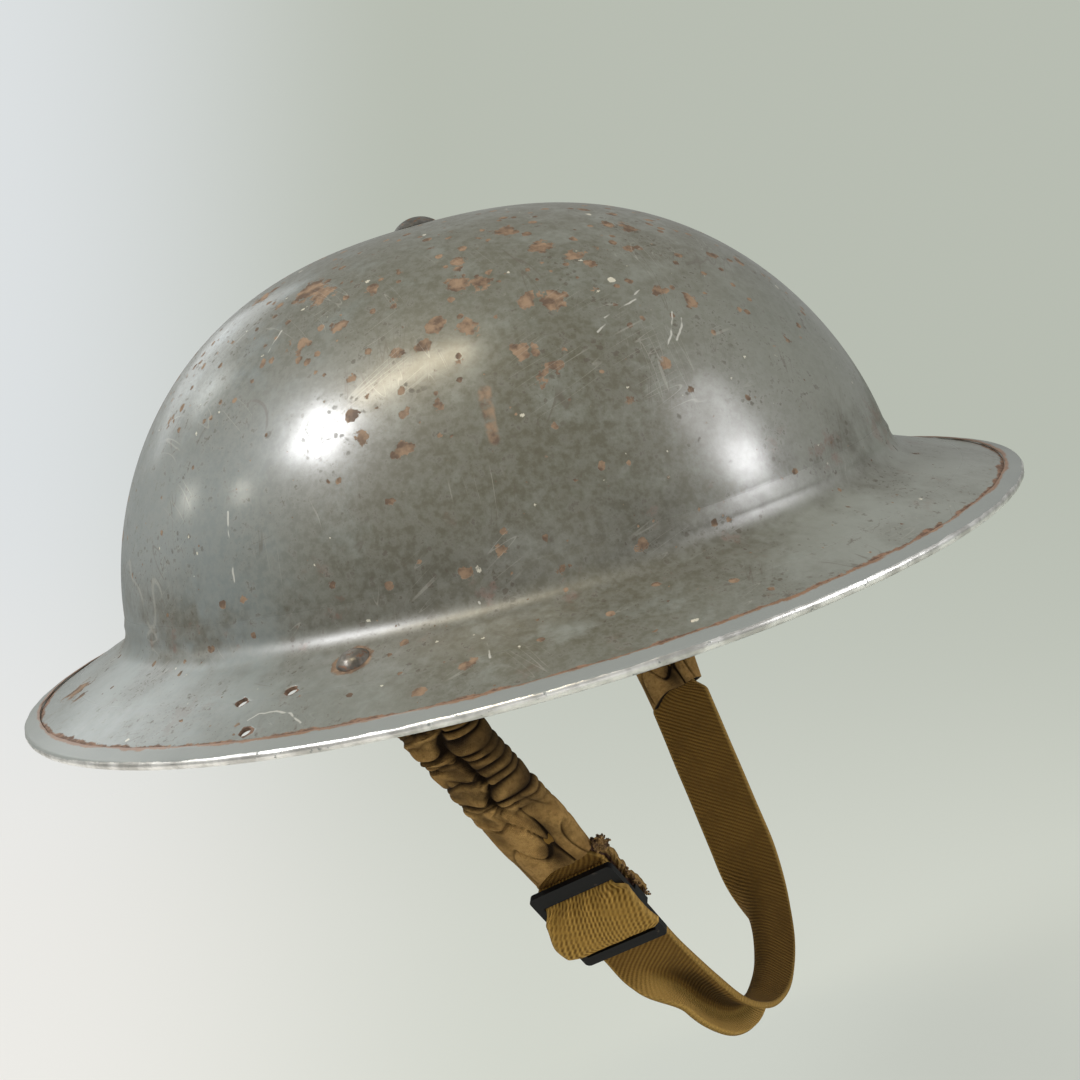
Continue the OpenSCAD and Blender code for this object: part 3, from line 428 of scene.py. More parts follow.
def worn_paint(name, marked):
    """Satin grey paint, bluer at the rear, paler on the brim as a painted sheen, and olive with dirt over the
    crown, the front and the crease, rust where it is chipped, and scratches; marked adds the chips and the
    rim's rust line stored on the shell."""
    made, inputs, where = surface_of(name, 0.0, 0.34)
    here = where["Object"]
    spot = split(here)
    height = spot["Z"]
    cloud = ramp(grain(here, 11.0, 5.0, 0.6), 0.38, 0.62)
    mottle, smear = grain(here, 70.0, 6.0, 0.7), grain(here, 38.0, 5.0, 0.65)
    fine, grit = grain(here, 420.0, 4.0, 0.65), grain(here, 1100.0, 2.0, 0.6)
    ragged = grain(here, 210.0, 5.0, 0.68)
    # Paint, paler on the brim as a painted sheen
    cool = mix(cloud, (0.119, 0.138, 0.137), (0.154, 0.170, 0.167))
    warm = mix(cloud, (0.116, 0.121, 0.098), (0.148, 0.152, 0.126))
    tint = mix(ramp(spot["X"], -0.05, 0.03), cool, warm)
    tint = mix(ramp(height, 0.015, 0.007, 0.0, 0.35), tint, (0.245, 0.265, 0.250))
    # Dirt: a stain on the right side and the crown, grime and old rust in the crease, and specks
    stain = ramp(vector("DISTANCE", here, (0.045, -0.092, 0.038)), 0.090, 0.035)
    stain = most(stain, ramp(height, 0.052, 0.092) * 0.8) * ramp(mottle, 0.28, 0.54)
    tint = mix(stain * 0.95, tint, (0.070, 0.064, 0.039))
    foot = ramp(height, 0.042, 0.022) * ramp(height, 0.004, 0.016, 0.35, 1.0)
    tint = mix(foot * ramp(smear, 0.40, 0.60) * 0.88, tint, (0.062, 0.057, 0.038))
    tint = mix(foot * ramp(mottle, 0.58, 0.66) * 0.8, tint, (0.110, 0.062, 0.042))
    tint = mix(ramp(fine, 0.35, 0.65, 0.0, 0.30), tint, (0.205, 0.210, 0.190))
    speck = most(ramp(fine, 0.585, 0.66) * ramp(mottle, 0.42, 0.60),
                 ramp(grit, 0.62, 0.70) * ramp(smear, 0.42, 0.62))
    dots = flaked(here, grit, 620.0, 0.80, 0.50) * ramp(smear, 0.47, 0.60, 0.1, 1.0)
    speck = most(speck, dots)
    tint = mix(speck * 0.65, tint, (0.058, 0.045, 0.031))
    # Rust where the paint is chipped, along the rim strip and round the rivet
    bare = most(flaked(here, ragged, 125.0, ramp(height, 0.050, 0.098, 0.950, 0.60), 0.24),
                flaked(here, ragged, 330.0, ramp(height, 0.040, 0.098, 0.950, 0.66), 0.42))
    if marked:
        bare = most(bare, ramp(stored(where, "chip") + (ragged - 0.5) * 2.6, 0.44, 0.52))
        line = ramp(stored(where, "from_edge") + (mottle - 0.5) * 7.0, 5.6, 5.1)
        bare = most(bare, line)
        ring = vector("DISTANCE", here, (-0.001, -0.113, 0.0098)) + (ragged - 0.5) * 0.004
        bare = most(bare, ramp(ring, 0.0059, 0.0051))
    rust = mix(ramp(grain(here, 330.0, 3.0), 0.34, 0.66), (0.080, 0.049, 0.030), (0.212, 0.140, 0.087))
    tint = mix(bare, tint, rust)
    if marked:
        tint = mix(line, tint, mix(ramp(fine, 0.42, 0.60), (0.085, 0.047, 0.030), (0.190, 0.110, 0.070)))
    pale_fleck = flaked(here, ragged, 190.0, 0.975, 0.20)
    hair = hairlines(here, ((0.3, 0.2, 0.9), 0.0022, 44.0), ((0.1, 0.9, -0.5), 0.0026, 39.0))
    dark_hair = hairlines(here, ((0.8, 0.1, 0.2), 0.0022, 41.0), ((-0.5, 0.6, 1.3), 0.0028, 47.0))
    tint = mix(dark_hair * 0.50, tint, (0.070, 0.055, 0.040))
    tint = mix(hair * 0.28, tint, (0.34, 0.33, 0.29))
    tint = mix(pale_fleck * 0.8, tint, (0.52, 0.49, 0.40))
    if marked:
        drift = put(where.tree, "TexNoise", {"Vector": here, "Scale": 160.0, "Detail": 2.0})["Color"]
        drift = vector("SUBTRACT", drift, (0.5, 0.5, 0.5))
        drift = put(where.tree, "VectorMath", {0: drift, "Scale": 0.0022}, operation="SCALE")
        loose = vector("ADD", here, drift)
        worn = [0.0, 0.0]
        for *ends, half, is_pale in SCRATCHES:
            run = np.array(ends[3:]) - ends[:3]
            length = float(np.linalg.norm(run))
            start = vector("SUBTRACT", loose, tuple(ends[:3]))
            done = vector("DOT_PRODUCT", start, tuple(run / length))
            done = put(where.tree, "Clamp", {0: done, 1: 0.0, 2: length})
            reached = put(where.tree, "CombineXYZ", {0: done, 1: done, 2: done})
            off = vector("DISTANCE", start, vector("MULTIPLY", reached, tuple(run / length)))
            worn[is_pale] = most(worn[is_pale], ramp(off, half * 1.3, half * 0.6))
        tint = mix(worn[1] * 0.65, tint, (0.46, 0.45, 0.41))
        tint = mix(worn[0] * ramp(mottle, 0.36, 0.5), tint, rust)
    # Gloss: satin paint under varnish, dull where it is bare, and brighter along the fold of the crease
    matt = most(bare, speck * 0.6)
    fold = ramp(abs(height - 0.014), 0.012, 0.003)
    varnish = fold * ramp(spot["X"], -0.085, -0.03, 0.0, 0.28) + 0.72
    lead(inputs, Base_Color=tint, Roughness=ramp(mottle, 0.3, 0.7, 0.36, 0.50) + matt * 0.32,
         Coat_Weight=ramp(matt, 0.0, 1.0, varnish, 0.04), Coat_Roughness=ramp(fold, 0.0, 1.0, 0.20, 0.38))
    raised(inputs, mottle * 0.12 - bare * 0.6 + fine * 0.10 + grit * 0.035, 0.35, 0.0003)
    return made


paint = worn_paint("worn grey paint", True)
shell.data.materials.clear()
shell.data.materials.append(paint)

# ---- Rim strip ----
# A thin steel strip folded round the raw edge of the sheet, its two ends meeting at the rear, painted
# with the shell, coloured paler than it as a painted sheen, and worn to bright metal along its lower outside
# corner.
STRIP, GAP, LEG, HALF_SEAM = 0.8, 0.1, 4.4, 0.0016
rim_turn = np.linspace(math.pi + HALF_SEAM, 3 * math.pi - HALF_SEAM, 641)
bend = SHEET / 2 + GAP + STRIP
a = np.radians(np.linspace(90, -90, 15))
top_line = np.stack([np.linspace(-LEG, -0.4, 7), np.full(7, GAP + STRIP)], 1)
top_line[0, 1] -= 0.25
nose = np.stack([GAP + bend * np.cos(a), -SHEET / 2 + bend * np.sin(a)], 1)
low_line = np.stack([np.linspace(-0.4, -LEG, 6), np.full(6, -SHEET - GAP - STRIP)], 1)
hollow = np.concatenate([np.stack([np.linspace(-LEG, -0.4, 6), np.full(6, -SHEET - GAP)], 1),
                         np.stack([np.full(15, GAP), np.linspace(-SHEET - GAP, GAP, 15)], 1),
                         np.stack([np.linspace(-0.4, -LEG, 7), np.full(7, GAP)], 1)])
section = np.concatenate([top_line, nose, low_line, hollow])
OUTER = len(section) - len(hollow)
rng = np.random.default_rng(7)


def wander(angle, waves, size):
    """A smooth random line round the oval: a sum of sines of whole numbers of waves."""
    made = np.zeros_like(angle)
    for n in waves:
        made += rng.normal() * np.sin(n * angle + rng.uniform(0, 2 * np.pi)) / len(waves) ** 0.5
    return size * made


lean = wander(rim_turn, range(9, 60, 5), 0.10)
hem = wander(rim_turn, range(11, 90, 6), 0.16)
grid = []
for k, (o, u) in enumerate(section):
    share = EDGE + o * math.cos(SLOPE) / BRIM_MEAN
    loose = 0.5 * lean * (o + LEG) / LEG * (u > -1) if k < OUTER else 0 * lean
    pull = hem if k < 2 else 0 * hem
    grid.append(bowl_and_brim(np.array([1.0, share, CREASE_Z * (1 - share)]), rim_turn,
                              u * math.sin(SLOPE) + loose - pull * (o < -3), u * math.cos(SLOPE)))
rim = surface("rim_strip", np.array(grid).transpose(1, 0, 2), wrap_cols=True, caps=True, flip=True)
wear = np.concatenate([np.zeros(7), np.clip((np.arange(15) + 1.4) / 5.0, 0, 1.2),
                       np.ones(6), 0 * hollow[:, 0]])
mark(rim, "underneath", np.broadcast_to(wear, (len(rim_turn), len(section))))
inner = np.concatenate([np.linspace(1, 0, 7) ** 2, np.zeros(49)])
mark(rim, "hem", np.broadcast_to(inner, (len(rim_turn), len(section))))
paint_rim, inputs, where = surface_of("worn rim paint with painted sheen", 0.0, 0.32)
here = where["Object"]
rub = grain(here, 60.0, 6.0, 0.75)
rear = ramp(split(here)["X"], -0.045, -0.115, 0.0, 0.38)
rubbed = stored(where, "underneath") + (rub - 0.5) * 1.1 - rear
bare = ramp(rubbed, 0.60, 0.72) * ramp(grain(here, 420.0, 3.0), 0.29, 0.37)
# Painted sheen: the rim's paint is paler than the shell's, standing in for the light on its upward and
# outward faces.
paint_with_sheen_and_rust = mix(grain(here, 30.0, 4.0), (0.170, 0.184, 0.179), (0.228, 0.240, 0.229))
rusty = mix(grain(here, 300.0), (0.105, 0.055, 0.034), (0.28, 0.165, 0.10))
paint_with_sheen_and_rust = mix(ramp(stored(where, "hem") + (rub - 0.5) * 1.6, 0.52, 0.72), paint_with_sheen_and_rust, rusty)
metal = mix(ramp(grain(here, 160.0, 3.0), 0.35, 0.65), (0.44, 0.43, 0.41), (0.78, 0.77, 0.75))
lead(inputs, Base_Color=mix(bare, paint_with_sheen_and_rust, metal), Metallic=bare * 0.75)
raised(inputs, rub - bare * 0.4, 0.3, 0.0003)
rim.data.materials.append(paint_rim)
rim.data.set_sharp_from_angle(angle=math.radians(50))
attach(rim, "helmet")
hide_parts("rim_trim")

# ---- Crown screw ----
# A steel screw with a low domed and slotted head goes down through the crown and clamps the crossed
# strips of the liner under a fibre washer and a nut.


def dress(node, material):
    """Gives a carried-over solid its material."""
    piece = bpy.data.objects[node]
    piece.data.materials.clear()
    piece.data.materials.append(material)
    return piece


def aged_metal(name, dark, pale_tone, rusty, metallic, roughness, scale=90.0):
    """Dull metal, mottled between two tones, with spots of rust."""
    made, inputs, where = surface_of(name, metallic, roughness)
    here = where["Object"]
    cloud, spots = grain(here, scale, 5.0, 0.65), grain(here, scale * 4.3, 4.0, 0.6)
    tint = mix(ramp(spots, 0.56, 0.66), mix(ramp(cloud, 0.35, 0.65), dark, pale_tone), rusty)
    lead(inputs, Base_Color=tint, Roughness=ramp(spots, 0.40, 0.64, roughness - 0.06, roughness + 0.22))
    raised(inputs, cloud + spots, 0.3, 0.0002)
    return made


dark_steel = aged_metal("darkened steel", (0.10, 0.095, 0.085), (0.20, 0.19, 0.175), (0.17, 0.085, 0.045),
                        0.75, 0.42)
tinned = aged_metal("dull tinned steel", (0.36, 0.35, 0.32), (0.52, 0.51, 0.47), (0.22, 0.13, 0.07), 0.85,
                    0.40)
spring_wire = aged_metal("drawn spring wire", (0.30, 0.29, 0.27), (0.50, 0.48, 0.45), (0.20, 0.11, 0.06), 0.9,
                         0.33, 200.0)
brass = aged_metal("dull brass", (0.26, 0.20, 0.09), (0.44, 0.35, 0.16), (0.12, 0.09, 0.05), 0.85, 0.42)
fibre = aged_metal("pressed fibre", (0.16, 0.075, 0.04), (0.24, 0.12, 0.065), (0.10, 0.05, 0.03), 0.0, 0.62)
dress("crown_screw", dark_steel)
dress("crown_washer", fibre)
dress("crown_nut", tinned)

# ---- Liner strips and headband frame ----
# Two tinned strips cross under the crown and hold the pressed fibre frame of the headband with small
# brass rivets.
dress("fore_aft_strip", tinned)
dress("cross_strip", tinned)
dress("liner_frame", fibre)
dress("band_rivets", brass)

# ---- Rubber buffers ----
# Four short lengths of thick rubber tube, squashed between the frame and the bowl, keep the frame off
# the steel at the front, rear and sides.
FRAME = (BOWL[0] - 18.0, BOWL[1] - 22.0)


def bowl_inside(half, z):
    """Inner half width of the bowl at a height: its profile's radius there, less the sheet."""
    u = math.asin(((z + SHEET - SPRING_Z) / (CROWN_Z - SPRING_Z)) ** (1 / 1.15))
    return half * math.cos(u) ** 0.81 - SHEET


def ripple(u, v, seed, waves, size, spread=1.0):
    """A smooth random surface: a sum of plane waves of random direction, with wave counts near the given
    ones per unit length."""
    pick = np.random.default_rng(seed)
    made = np.zeros(np.broadcast(u, v).shape)
    for n in waves:
        turned = pick.uniform(-spread, spread) * np.pi / 2
        along = u * np.cos(turned) + v * np.sin(turned)
        made = made + np.sin(2 * np.pi * n * along + pick.uniform(0, 6.28))
    return size * made / len(waves) ** 0.5


rubber, inputs, where = surface_of("black rubber", 0.0, 0.62)
here = where["Object"]
bloom = grain(here, 45.0, 5.0, 0.7)
lead(inputs, Base_Color=mix(ramp(bloom, 0.4, 0.7), (0.022, 0.021, 0.020), (0.055, 0.052, 0.048)))
raised(inputs, grain(here, 500.0, 3.0), 0.3, 0.0002)
BUFFER_LOW, BUFFER_H, BUFFER_L, BORE = 16.0, 16.0, 58.0, 3.2
outer = [bowl_inside(half, BUFFER_LOW + BUFFER_H) - 0.4 for half in BOWL]
inner = [half + 2.2 for half in FRAME]
for which, facing in (("front", 0.0), ("left", 90.0), ("rear", 180.0), ("right", 270.0)):
    across = outer[1] if facing % 180 == 0 else outer[0]
    reach = math.asin(BUFFER_L / 2 / across)
    a = math.radians(facing) + np.linspace(-reach, reach, 41)[:, None]
    k = np.radians(np.arange(0, 360, 7.5))[None]
    mid = [(outer[0] + inner[0]) / 2, (outer[1] + inner[1]) / 2]
    half = [(outer[0] - inner[0]) / 2, (outer[1] - inner[1]) / 2]
    low = BUFFER_LOW + BUFFER_H / 2
    ends = 1 - 0.12 * np.abs(np.linspace(-1, 1, 41))[:, None] ** 9
    swell_r = np.sign(np.cos(k)) * np.abs(np.cos(k)) ** 0.62 * ends
    swell_z = np.sign(np.sin(k)) * np.abs(np.sin(k)) ** 0.62 * ends * BUFFER_H / 2
    skin = np.stack([(mid[0] + half[0] * swell_r) * np.cos(a), (mid[1] + half[1] * swell_r) * np.sin(a),
                     low + swell_z + 0 * a], -1)
    bore = np.stack([(mid[0] + BORE * np.cos(k)) * np.cos(a), (mid[1] + BORE * np.cos(k)) * np.sin(a),
                     low + BORE * np.sin(k) + 0 * a], -1)
    tube = surface("buffer_tube_" + which, np.concatenate([skin, bore[::-1]]), wrap_rows=True, wrap_cols=True)
    tube.data.materials.append(rubber)
    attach(tube, "helmet")
    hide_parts("buffer_" + which)

# ---- Sweatband ----
# A band of black leathercloth lines the frame and is folded round its lower edge, with a line of
# stitches under its upper edge.
CLOTH, STITCH, FRAME_LOW, FRAME_H, FRAME_T = 1.2, 3.4, 4.0, 24.0, 1.5
BAND_TOP = FRAME_LOW + FRAME_H + 12.0


def sine(value):
    """The sine of a value in radians."""
    return put(value.tree, "Math", {0: value}, operation="SINE")


def leathercloth(name, lines):
    """Black coated cloth: fine pebbled grain, worn brown in patches, with stitches where the
    piece's second texture coordinate passes each of the given heights."""
    made, inputs, where = surface_of(name, 0.0, 0.48)
    here, flat = where["Object"], split(where["UV"])
    tint = mix(ramp(grain(here, 40.0, 5.0, 0.65), 0.42, 0.72), (0.020, 0.018, 0.017), (0.075, 0.052, 0.038))
    height = put(where.tree, "TexVoronoi", {"Vector": here, "Scale": 900.0}) * 0.5
    for line in lines:
        dash = sine(flat["X"] * (2 * math.pi / STITCH))
        stitch = ramp(abs(flat["Y"] - line), 0.50, 0.30) * ramp(dash, -0.35, -0.05)
        tint = mix(stitch, tint, (0.30, 0.26, 0.19))
        height = height + stitch
    lead(inputs, Base_Color=tint)
    raised(inputs, height, 0.6, 0.0004)
    return made


a = np.linspace(0, 2 * np.pi, 300, endpoint=False)
run_mm = np.cumsum(np.hypot(FRAME[0] * np.sin(a), FRAME[1] * np.cos(a))) * 2 * np.pi / len(a)
b = np.radians(np.linspace(180, 360, 9))
inner_leg = np.stack([np.full(14, -FRAME_T - 0.9), np.linspace(BAND_TOP, FRAME_LOW + 0.6, 14)], 1)
fold = np.stack([-0.3 + 1.2 * np.cos(b), FRAME_LOW - 0.3 + 0.6 * np.sin(b)], 1)
outer_leg = np.stack([np.full(6, 0.9), np.linspace(FRAME_LOW + 0.6, FRAME_LOW + 5, 6)], 1)
path = np.concatenate([inner_leg, fold, outer_leg])
step = np.gradient(path, axis=0)
normal = np.stack([step[:, 1], -step[:, 0]], 1) / np.linalg.norm(step, axis=1)[:, None]
section = np.concatenate([path + normal * CLOTH / 2, (path - normal * CLOTH / 2)[::-1]])
length = np.concatenate([[0], np.cumsum(np.linalg.norm(np.diff(path, axis=0), axis=1))])
wave = ripple(run_mm / 100, 0 * a, 3, (2, 3, 5, 8), 0.18)
upper = np.clip((section[:, 1] - 30) / 10, 0, 1)[:, None]
x = (FRAME[0] + section[:, :1] - 0.5 * upper - wave * upper) * np.cos(a)
y = (FRAME[1] + section[:, :1] - 0.5 * upper - wave * upper) * np.sin(a)
z = section[:, 1:] + 1.4 * wave * upper
uv = (np.concatenate([length, length[::-1], [length[0]]]), np.append(run_mm, run_mm[-1] + 2))
band = surface("leathercloth_band", np.stack(np.broadcast_arrays(x, y, z), -1), wrap_rows=True,
               wrap_cols=True, flip=True, uv=uv)
band.data.materials.append(leathercloth("black leathercloth", (2.5, 5.0)))
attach(band, "helmet")
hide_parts("sweatband")

# ---- Tongues ----
# Eight tongues of the same leathercloth are sewn behind the band's upper edge and lean in over the
# head, where the draw lace holds their tips together.
TONGUE_A, TONGUE_B = (half - FRAME_T - 0.6 - CLOTH for half in FRAME)
TONGUE_LOW, TONGUE_Z, TONGUES = BAND_TOP - 8, 84.0, 8


def tongue_place(k, across, up, depth):
    """Place on tongue k: the oval shrinks as a cosine to the power 0.9 and rises as a sine, the tongue
    narrows towards its tip, and depth is measured inward from its upper face."""
    radius = TONGUE_B * np.cos(np.radians(66 * up)) ** 0.9
    turned = np.radians(360 * (k + 0.5) / TONGUES + across * (1 - 0.72 * up) * 150 / TONGUES)
    return np.stack([(radius * TONGUE_A / TONGUE_B - depth) * np.cos(turned),
                     (radius - depth) * np.sin(turned),
                     TONGUE_LOW + (TONGUE_Z - TONGUE_LOW) * np.sin(np.radians(90 * up)) - depth * up], -1)


across = np.linspace(-1, 1, 17)
made = []
for k in range(TONGUES):
    up = np.linspace(0, 1, 34)[:, None]
    tip = 1 - 0.10 * np.abs(across[None]) ** 3.0 * up ** 6
    sides = across[None] * (1 - 0.30 * np.clip((up - 0.86) / 0.14, 0, 1) ** 2)
    cup = 0.9 * (sides ** 2) * (0.3 + up) + ripple(sides, 2.2 * up, 20 + k, (0.5, 0.8, 1.3), 0.55)
    upper = tongue_place(k, sides, up * tip, cup)
    under = tongue_place(k, sides, up * tip, cup + CLOTH * 0.85)
    made.append(np.concatenate([upper, under[:, ::-1]], 1))
tongues = surface("leathercloth_tongues", np.stack(made), wrap_cols=True, caps=True, flip=True,
                  uv=(np.linspace(0, 66, 34), np.concatenate([across, across[::-1], [-1]]) * 30))
tongues.data.materials.append(leathercloth("tongue leathercloth", (3.0, 5.5)))
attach(tongues, "helmet")
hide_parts("liner_tongues")

# ---- Draw lace ----
# A flat cotton lace runs through two slits near the tip of each tongue, inside the head space between
# the slits and above the cloth outside them, and is drawn up to fit the head.


def tube(centres, radius, sides, closed, squash=1.0):
    """Grid of rings of a given radius round a path: each ring stands square to the path, and its sides are
    carried along without twist."""
    ahead = np.roll(centres, -1, 0) - np.roll(centres, 1, 0) if closed else np.gradient(centres, axis=0)
    ahead /= np.linalg.norm(ahead, axis=1)[:, None]
    side, v = [], np.cross(ahead[0], [0.0, 0.3, 1.0])
    for way in ahead:
        v = v - way * (v @ way)
        v = v / np.linalg.norm(v)
        side.append(v)
    side = np.array(side)
    turned = np.linspace(0, 2 * np.pi, sides, endpoint=False)[None, :, None]
    return centres[:, None] + radius * (np.cos(turned) * side[:, None]
                                        + squash * np.sin(turned) * np.cross(ahead, side)[:, None])


a = np.linspace(0, 2 * np.pi, 960, endpoint=False)
near = (np.degrees(a) / 45.0) % 1 - 0.5
inside_it = 1 / (1 + np.exp((np.abs(near) - 0.10) * 160))
up = 0.90 + 0.012 * np.sin(5 * a + 1) + 0.008 * np.sin(13 * a)
radius = TONGUE_B * np.cos(np.radians(66 * up)) ** 0.9
rise = TONGUE_LOW + (TONGUE_Z - TONGUE_LOW) * np.sin(np.radians(90 * up))
off = 1.5 - 3.9 * inside_it
x = (radius * TONGUE_A / TONGUE_B + 0.55 * off) * np.cos(a)
y = (radius + 0.55 * off) * np.sin(a)
LACE_R, LACE_SIDES = 1.15, 12
grid = tube(np.stack([x, y, rise + 0.85 * off], 1), LACE_R, LACE_SIDES, True, 0.7)
lace = surface("draw_lace_cord", grid, wrap_rows=True, wrap_cols=True, flip=True,
               uv=(np.arange(len(a) + 1) * 0.36, np.arange(LACE_SIDES + 1) * 0.6))
cotton, inputs, where = surface_of("lace cotton", 0.0, 0.85, Sheen_Weight=0.25)
uv = split(where["UV"])
plait = sine(uv["Y"] * 5.2 + uv["X"] * 1.745) * sine(uv["Y"] * 5.2 - uv["X"] * 1.745)
lead(inputs, Base_Color=mix(ramp(plait, -0.6, 0.6), (0.20, 0.16, 0.10), (0.44, 0.38, 0.27)))
raised(inputs, plait, 0.5, 0.0003)
lace.data.materials.append(cotton)
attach(lace, "helmet")
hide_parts("draw_lace")

# ---- Crown pad ----
# A cross of felt with a sewn cloth cover hangs under the strips' crossing, hollowed over the nut, and
# keeps the head off the screw.
PAD_TOP, PAD_T, PAD_W, PAD_ARM, FLAT = 104.9, 7.0, 34.0, 46.0, 10.0


def drop(half, at):
    """How far an arch of a given half width has fallen from its crown at a distance from the middle."""
    return (PAD_TOP - FRAME_LOW - FRAME_H) * (1 - np.sqrt(1 - (np.clip(np.abs(at) - FLAT, 0, None)
                                                               / (half - FLAT)) ** 2))


turned = np.linspace(0, 2 * np.pi, 192, endpoint=False)[None]
c, s = np.abs(np.cos(turned)) + 1e-9, np.abs(np.sin(turned)) + 1e-9
bars = [((c / p) ** 7 + (s / q) ** 7) ** (-1 / 7) for p, q in ((PAD_ARM, PAD_W / 2), (PAD_W / 2, PAD_ARM))]
edge = (bars[0] ** 12 + bars[1] ** 12) ** (1 / 12)
share = np.linspace(0.012, 1, 40)[:, None]
x, y = edge * share * np.cos(turned), edge * share * np.sin(turned)
from_edge = edge * (1 - share)
crown = np.sqrt(np.clip(1 - np.clip(1 - from_edge / 4.2, 0, 1) ** 2, 0, 1))
seam = 0.9 * np.exp(-((from_edge - 5.0) / 0.8) ** 2)
puff = ripple(x / 30, y / 30, 5, (0.7, 1.1, 1.7), 0.35)
well = 4.4 * np.clip((9.0 - np.hypot(x, y)) / 2.0, 0, 1)
roof = PAD_TOP - drop(FRAME[0], x) - drop(FRAME[1], y)
top = roof - PAD_T / 2 + crown * (PAD_T / 2) - seam - np.minimum(well, PAD_T - 2.4) * (well > 0)
low = roof - PAD_T / 2 - crown * (PAD_T / 2) + seam + puff * crown
top_grid = np.stack(np.broadcast_arrays(x, y, top), -1)
low_grid = np.stack(np.broadcast_arrays(x, y, low), -1)[::-1][1:]
pad = surface("crown_pad_cushion", np.concatenate([top_grid, low_grid]), wrap_cols=True, caps=True)
felt, inputs, where = surface_of("pad cloth", 0.0, 0.9, Sheen_Weight=0.3)
fuzz = grain(where["Object"], 900.0, 5.0, 0.8)
cloud = grain(where["Object"], 60.0, 4.0)
lead(inputs, Base_Color=mix(ramp(fuzz + cloud * 0.6, 0.55, 1.0), (0.060, 0.046, 0.036),
                            (0.135, 0.108, 0.084)))
raised(inputs, fuzz, 0.5, 0.0006)
pad.data.materials.append(felt)
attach(pad, "helmet")
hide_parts("crown_pad")

# ---- Lugs ----
# A small steel ear with a round eye is riveted under each side of the brim, painted with the shell;
# the rivet's domed head shows on top, dark and ringed with rust.
lug_paint = worn_paint("lug paint", False)
dress("right_lug", lug_paint)
dress("left_lug", lug_paint)
rivet_metal = aged_metal("worn rivet", (0.070, 0.062, 0.052), (0.180, 0.165, 0.145), (0.14, 0.07, 0.04), 0.5,
                         0.34, 160.0)
dress("right_lug_rivet", rivet_metal)
dress("left_lug_rivet", rivet_metal)

# ---- Rings and spring loops ----
# A ring of bent steel wire hangs loose in each lug's eye, and a second, smaller one joins the lower
# hooks of the springs to the sewn eye of the webbing.
for which in ("right_ring", "left_ring", "right_spring_loop", "left_spring_loop"):
    dress(which, dark_steel)

# ---- Springs ----
# Two coil springs of hard drawn wire hang side by side between each ring and spring loop, and let the
# chinstrap stretch.
EYE_IN, EYE_DROP, RIVET_OUT = 11.1, 8.5, 3.2
LEAN = math.radians(16.0)
CHIN_HALF, STRAIGHT = 50.0, 127.5
share = CREASE_R * (1 - math.sin(SLOPE)) / BRIM_MEAN + RIVET_OUT / BRIM[1]
RIVET = (-1.0, BOWL[1] + share * BRIM[1], CREASE_Z * (1 - share) - DROOP * share)
HANG_Y = RIVET[1] - EYE_IN * math.cos(SIDE) - EYE_DROP * math.sin(SIDE)
HANG_Z = RIVET[2] + EYE_IN * math.sin(SIDE) - EYE_DROP * math.cos(SIDE)
SPLAY = math.atan((HANG_Y - CHIN_HALF) / STRAIGHT)
STRAIGHT_L, CHIN_R = STRAIGHT / math.cos(SPLAY), CHIN_HALF / math.cos(SPLAY)
WEB_FULL = 2 * (STRAIGHT_L + CHIN_R * (math.pi / 2 - SPLAY))


def strap_place(x, out, down):
    """Place on the chinstrap from the right eye round to the left one: x across its width towards the
    front, out from the head, and down along it. It runs straight at the splay angle, turns on an arc
    under the chin, and the whole plane leans forward."""
    x, out, down = np.broadcast_arrays(x, out, down)
    left = down > WEB_FULL / 2
    d = np.where(left, WEB_FULL - down, down)
    bent = SPLAY + np.clip(d - STRAIGHT_L, 0, None) / CHIN_R
    y = np.where(d < STRAIGHT_L, -HANG_Y + d * math.sin(SPLAY), -CHIN_R * np.cos(bent)) - out * np.cos(bent)
    z = np.where(d < STRAIGHT_L, -d * math.cos(SPLAY),
                 -STRAIGHT + CHIN_R * (math.sin(SPLAY) - np.sin(bent))) - out * np.sin(bent)
    return np.stack([RIVET[0] + x * math.cos(LEAN) - z * math.sin(LEAN), np.where(left, -y, y),
                     HANG_Z + x * math.sin(LEAN) + z * math.cos(LEAN)], -1)


def both_sides(name, grid, **settings):
    """Builds the right piece, and the left one as its mirror image across the helmet's middle, each with its
    side and the signs of its places; the name says right or left in place of its braces."""
    return [(surface(name.format(label), grid * signs, flip=label == "right", **settings), label, signs)
            for label, signs in (("right", (1, 1, 1)), ("left", (1, -1, 1)))]


RING_H, WIRE, COIL_R, COIL_WIRE, TURNS, SPACING = 13.0, 1.3, 3.2, 0.5, 12, 9.6
LOOP_AT, HOOK = 62.0, WIRE + COIL_WIRE + 0.3
steps = 24
hook = np.radians(np.linspace(-140, 84, 24))
coil = np.arange(TURNS * steps + 1)
turned = np.pi / 2 + 2 * np.pi * coil / steps
top, foot = RING_H + HOOK + 2, LOOP_AT - HOOK - 2
wire = np.concatenate([
    np.stack([0 * hook, HOOK * np.sin(hook), RING_H - HOOK * np.cos(hook)], 1),
    np.stack([COIL_R * np.cos(turned), COIL_R * np.sin(turned),
              top + (foot - top) * coil / (TURNS * steps)], 1),
    np.stack([0 * hook, HOOK * np.sin(hook + 4.0), LOOP_AT - HOOK * np.cos(hook + 4.0)], 1)])
for name, way in (("{}_spring_rear", -1), ("{}_spring_front", 1)):
    places = strap_place(wire[:, 0] + way * SPACING / 2, -wire[:, 1], wire[:, 2])
    for piece, label, flip in both_sides(name, tube(places, COIL_WIRE, 10, False), wrap_cols=True,
                                          caps=True):
        piece.data.materials.append(spring_wire)
        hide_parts(label + "_springs")
        tuple(strap_place(0, 0, 14.0) * MM * flip)
        tuple(strap_place(0, 0, LOOP_AT) * MM * flip)
        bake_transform(piece)

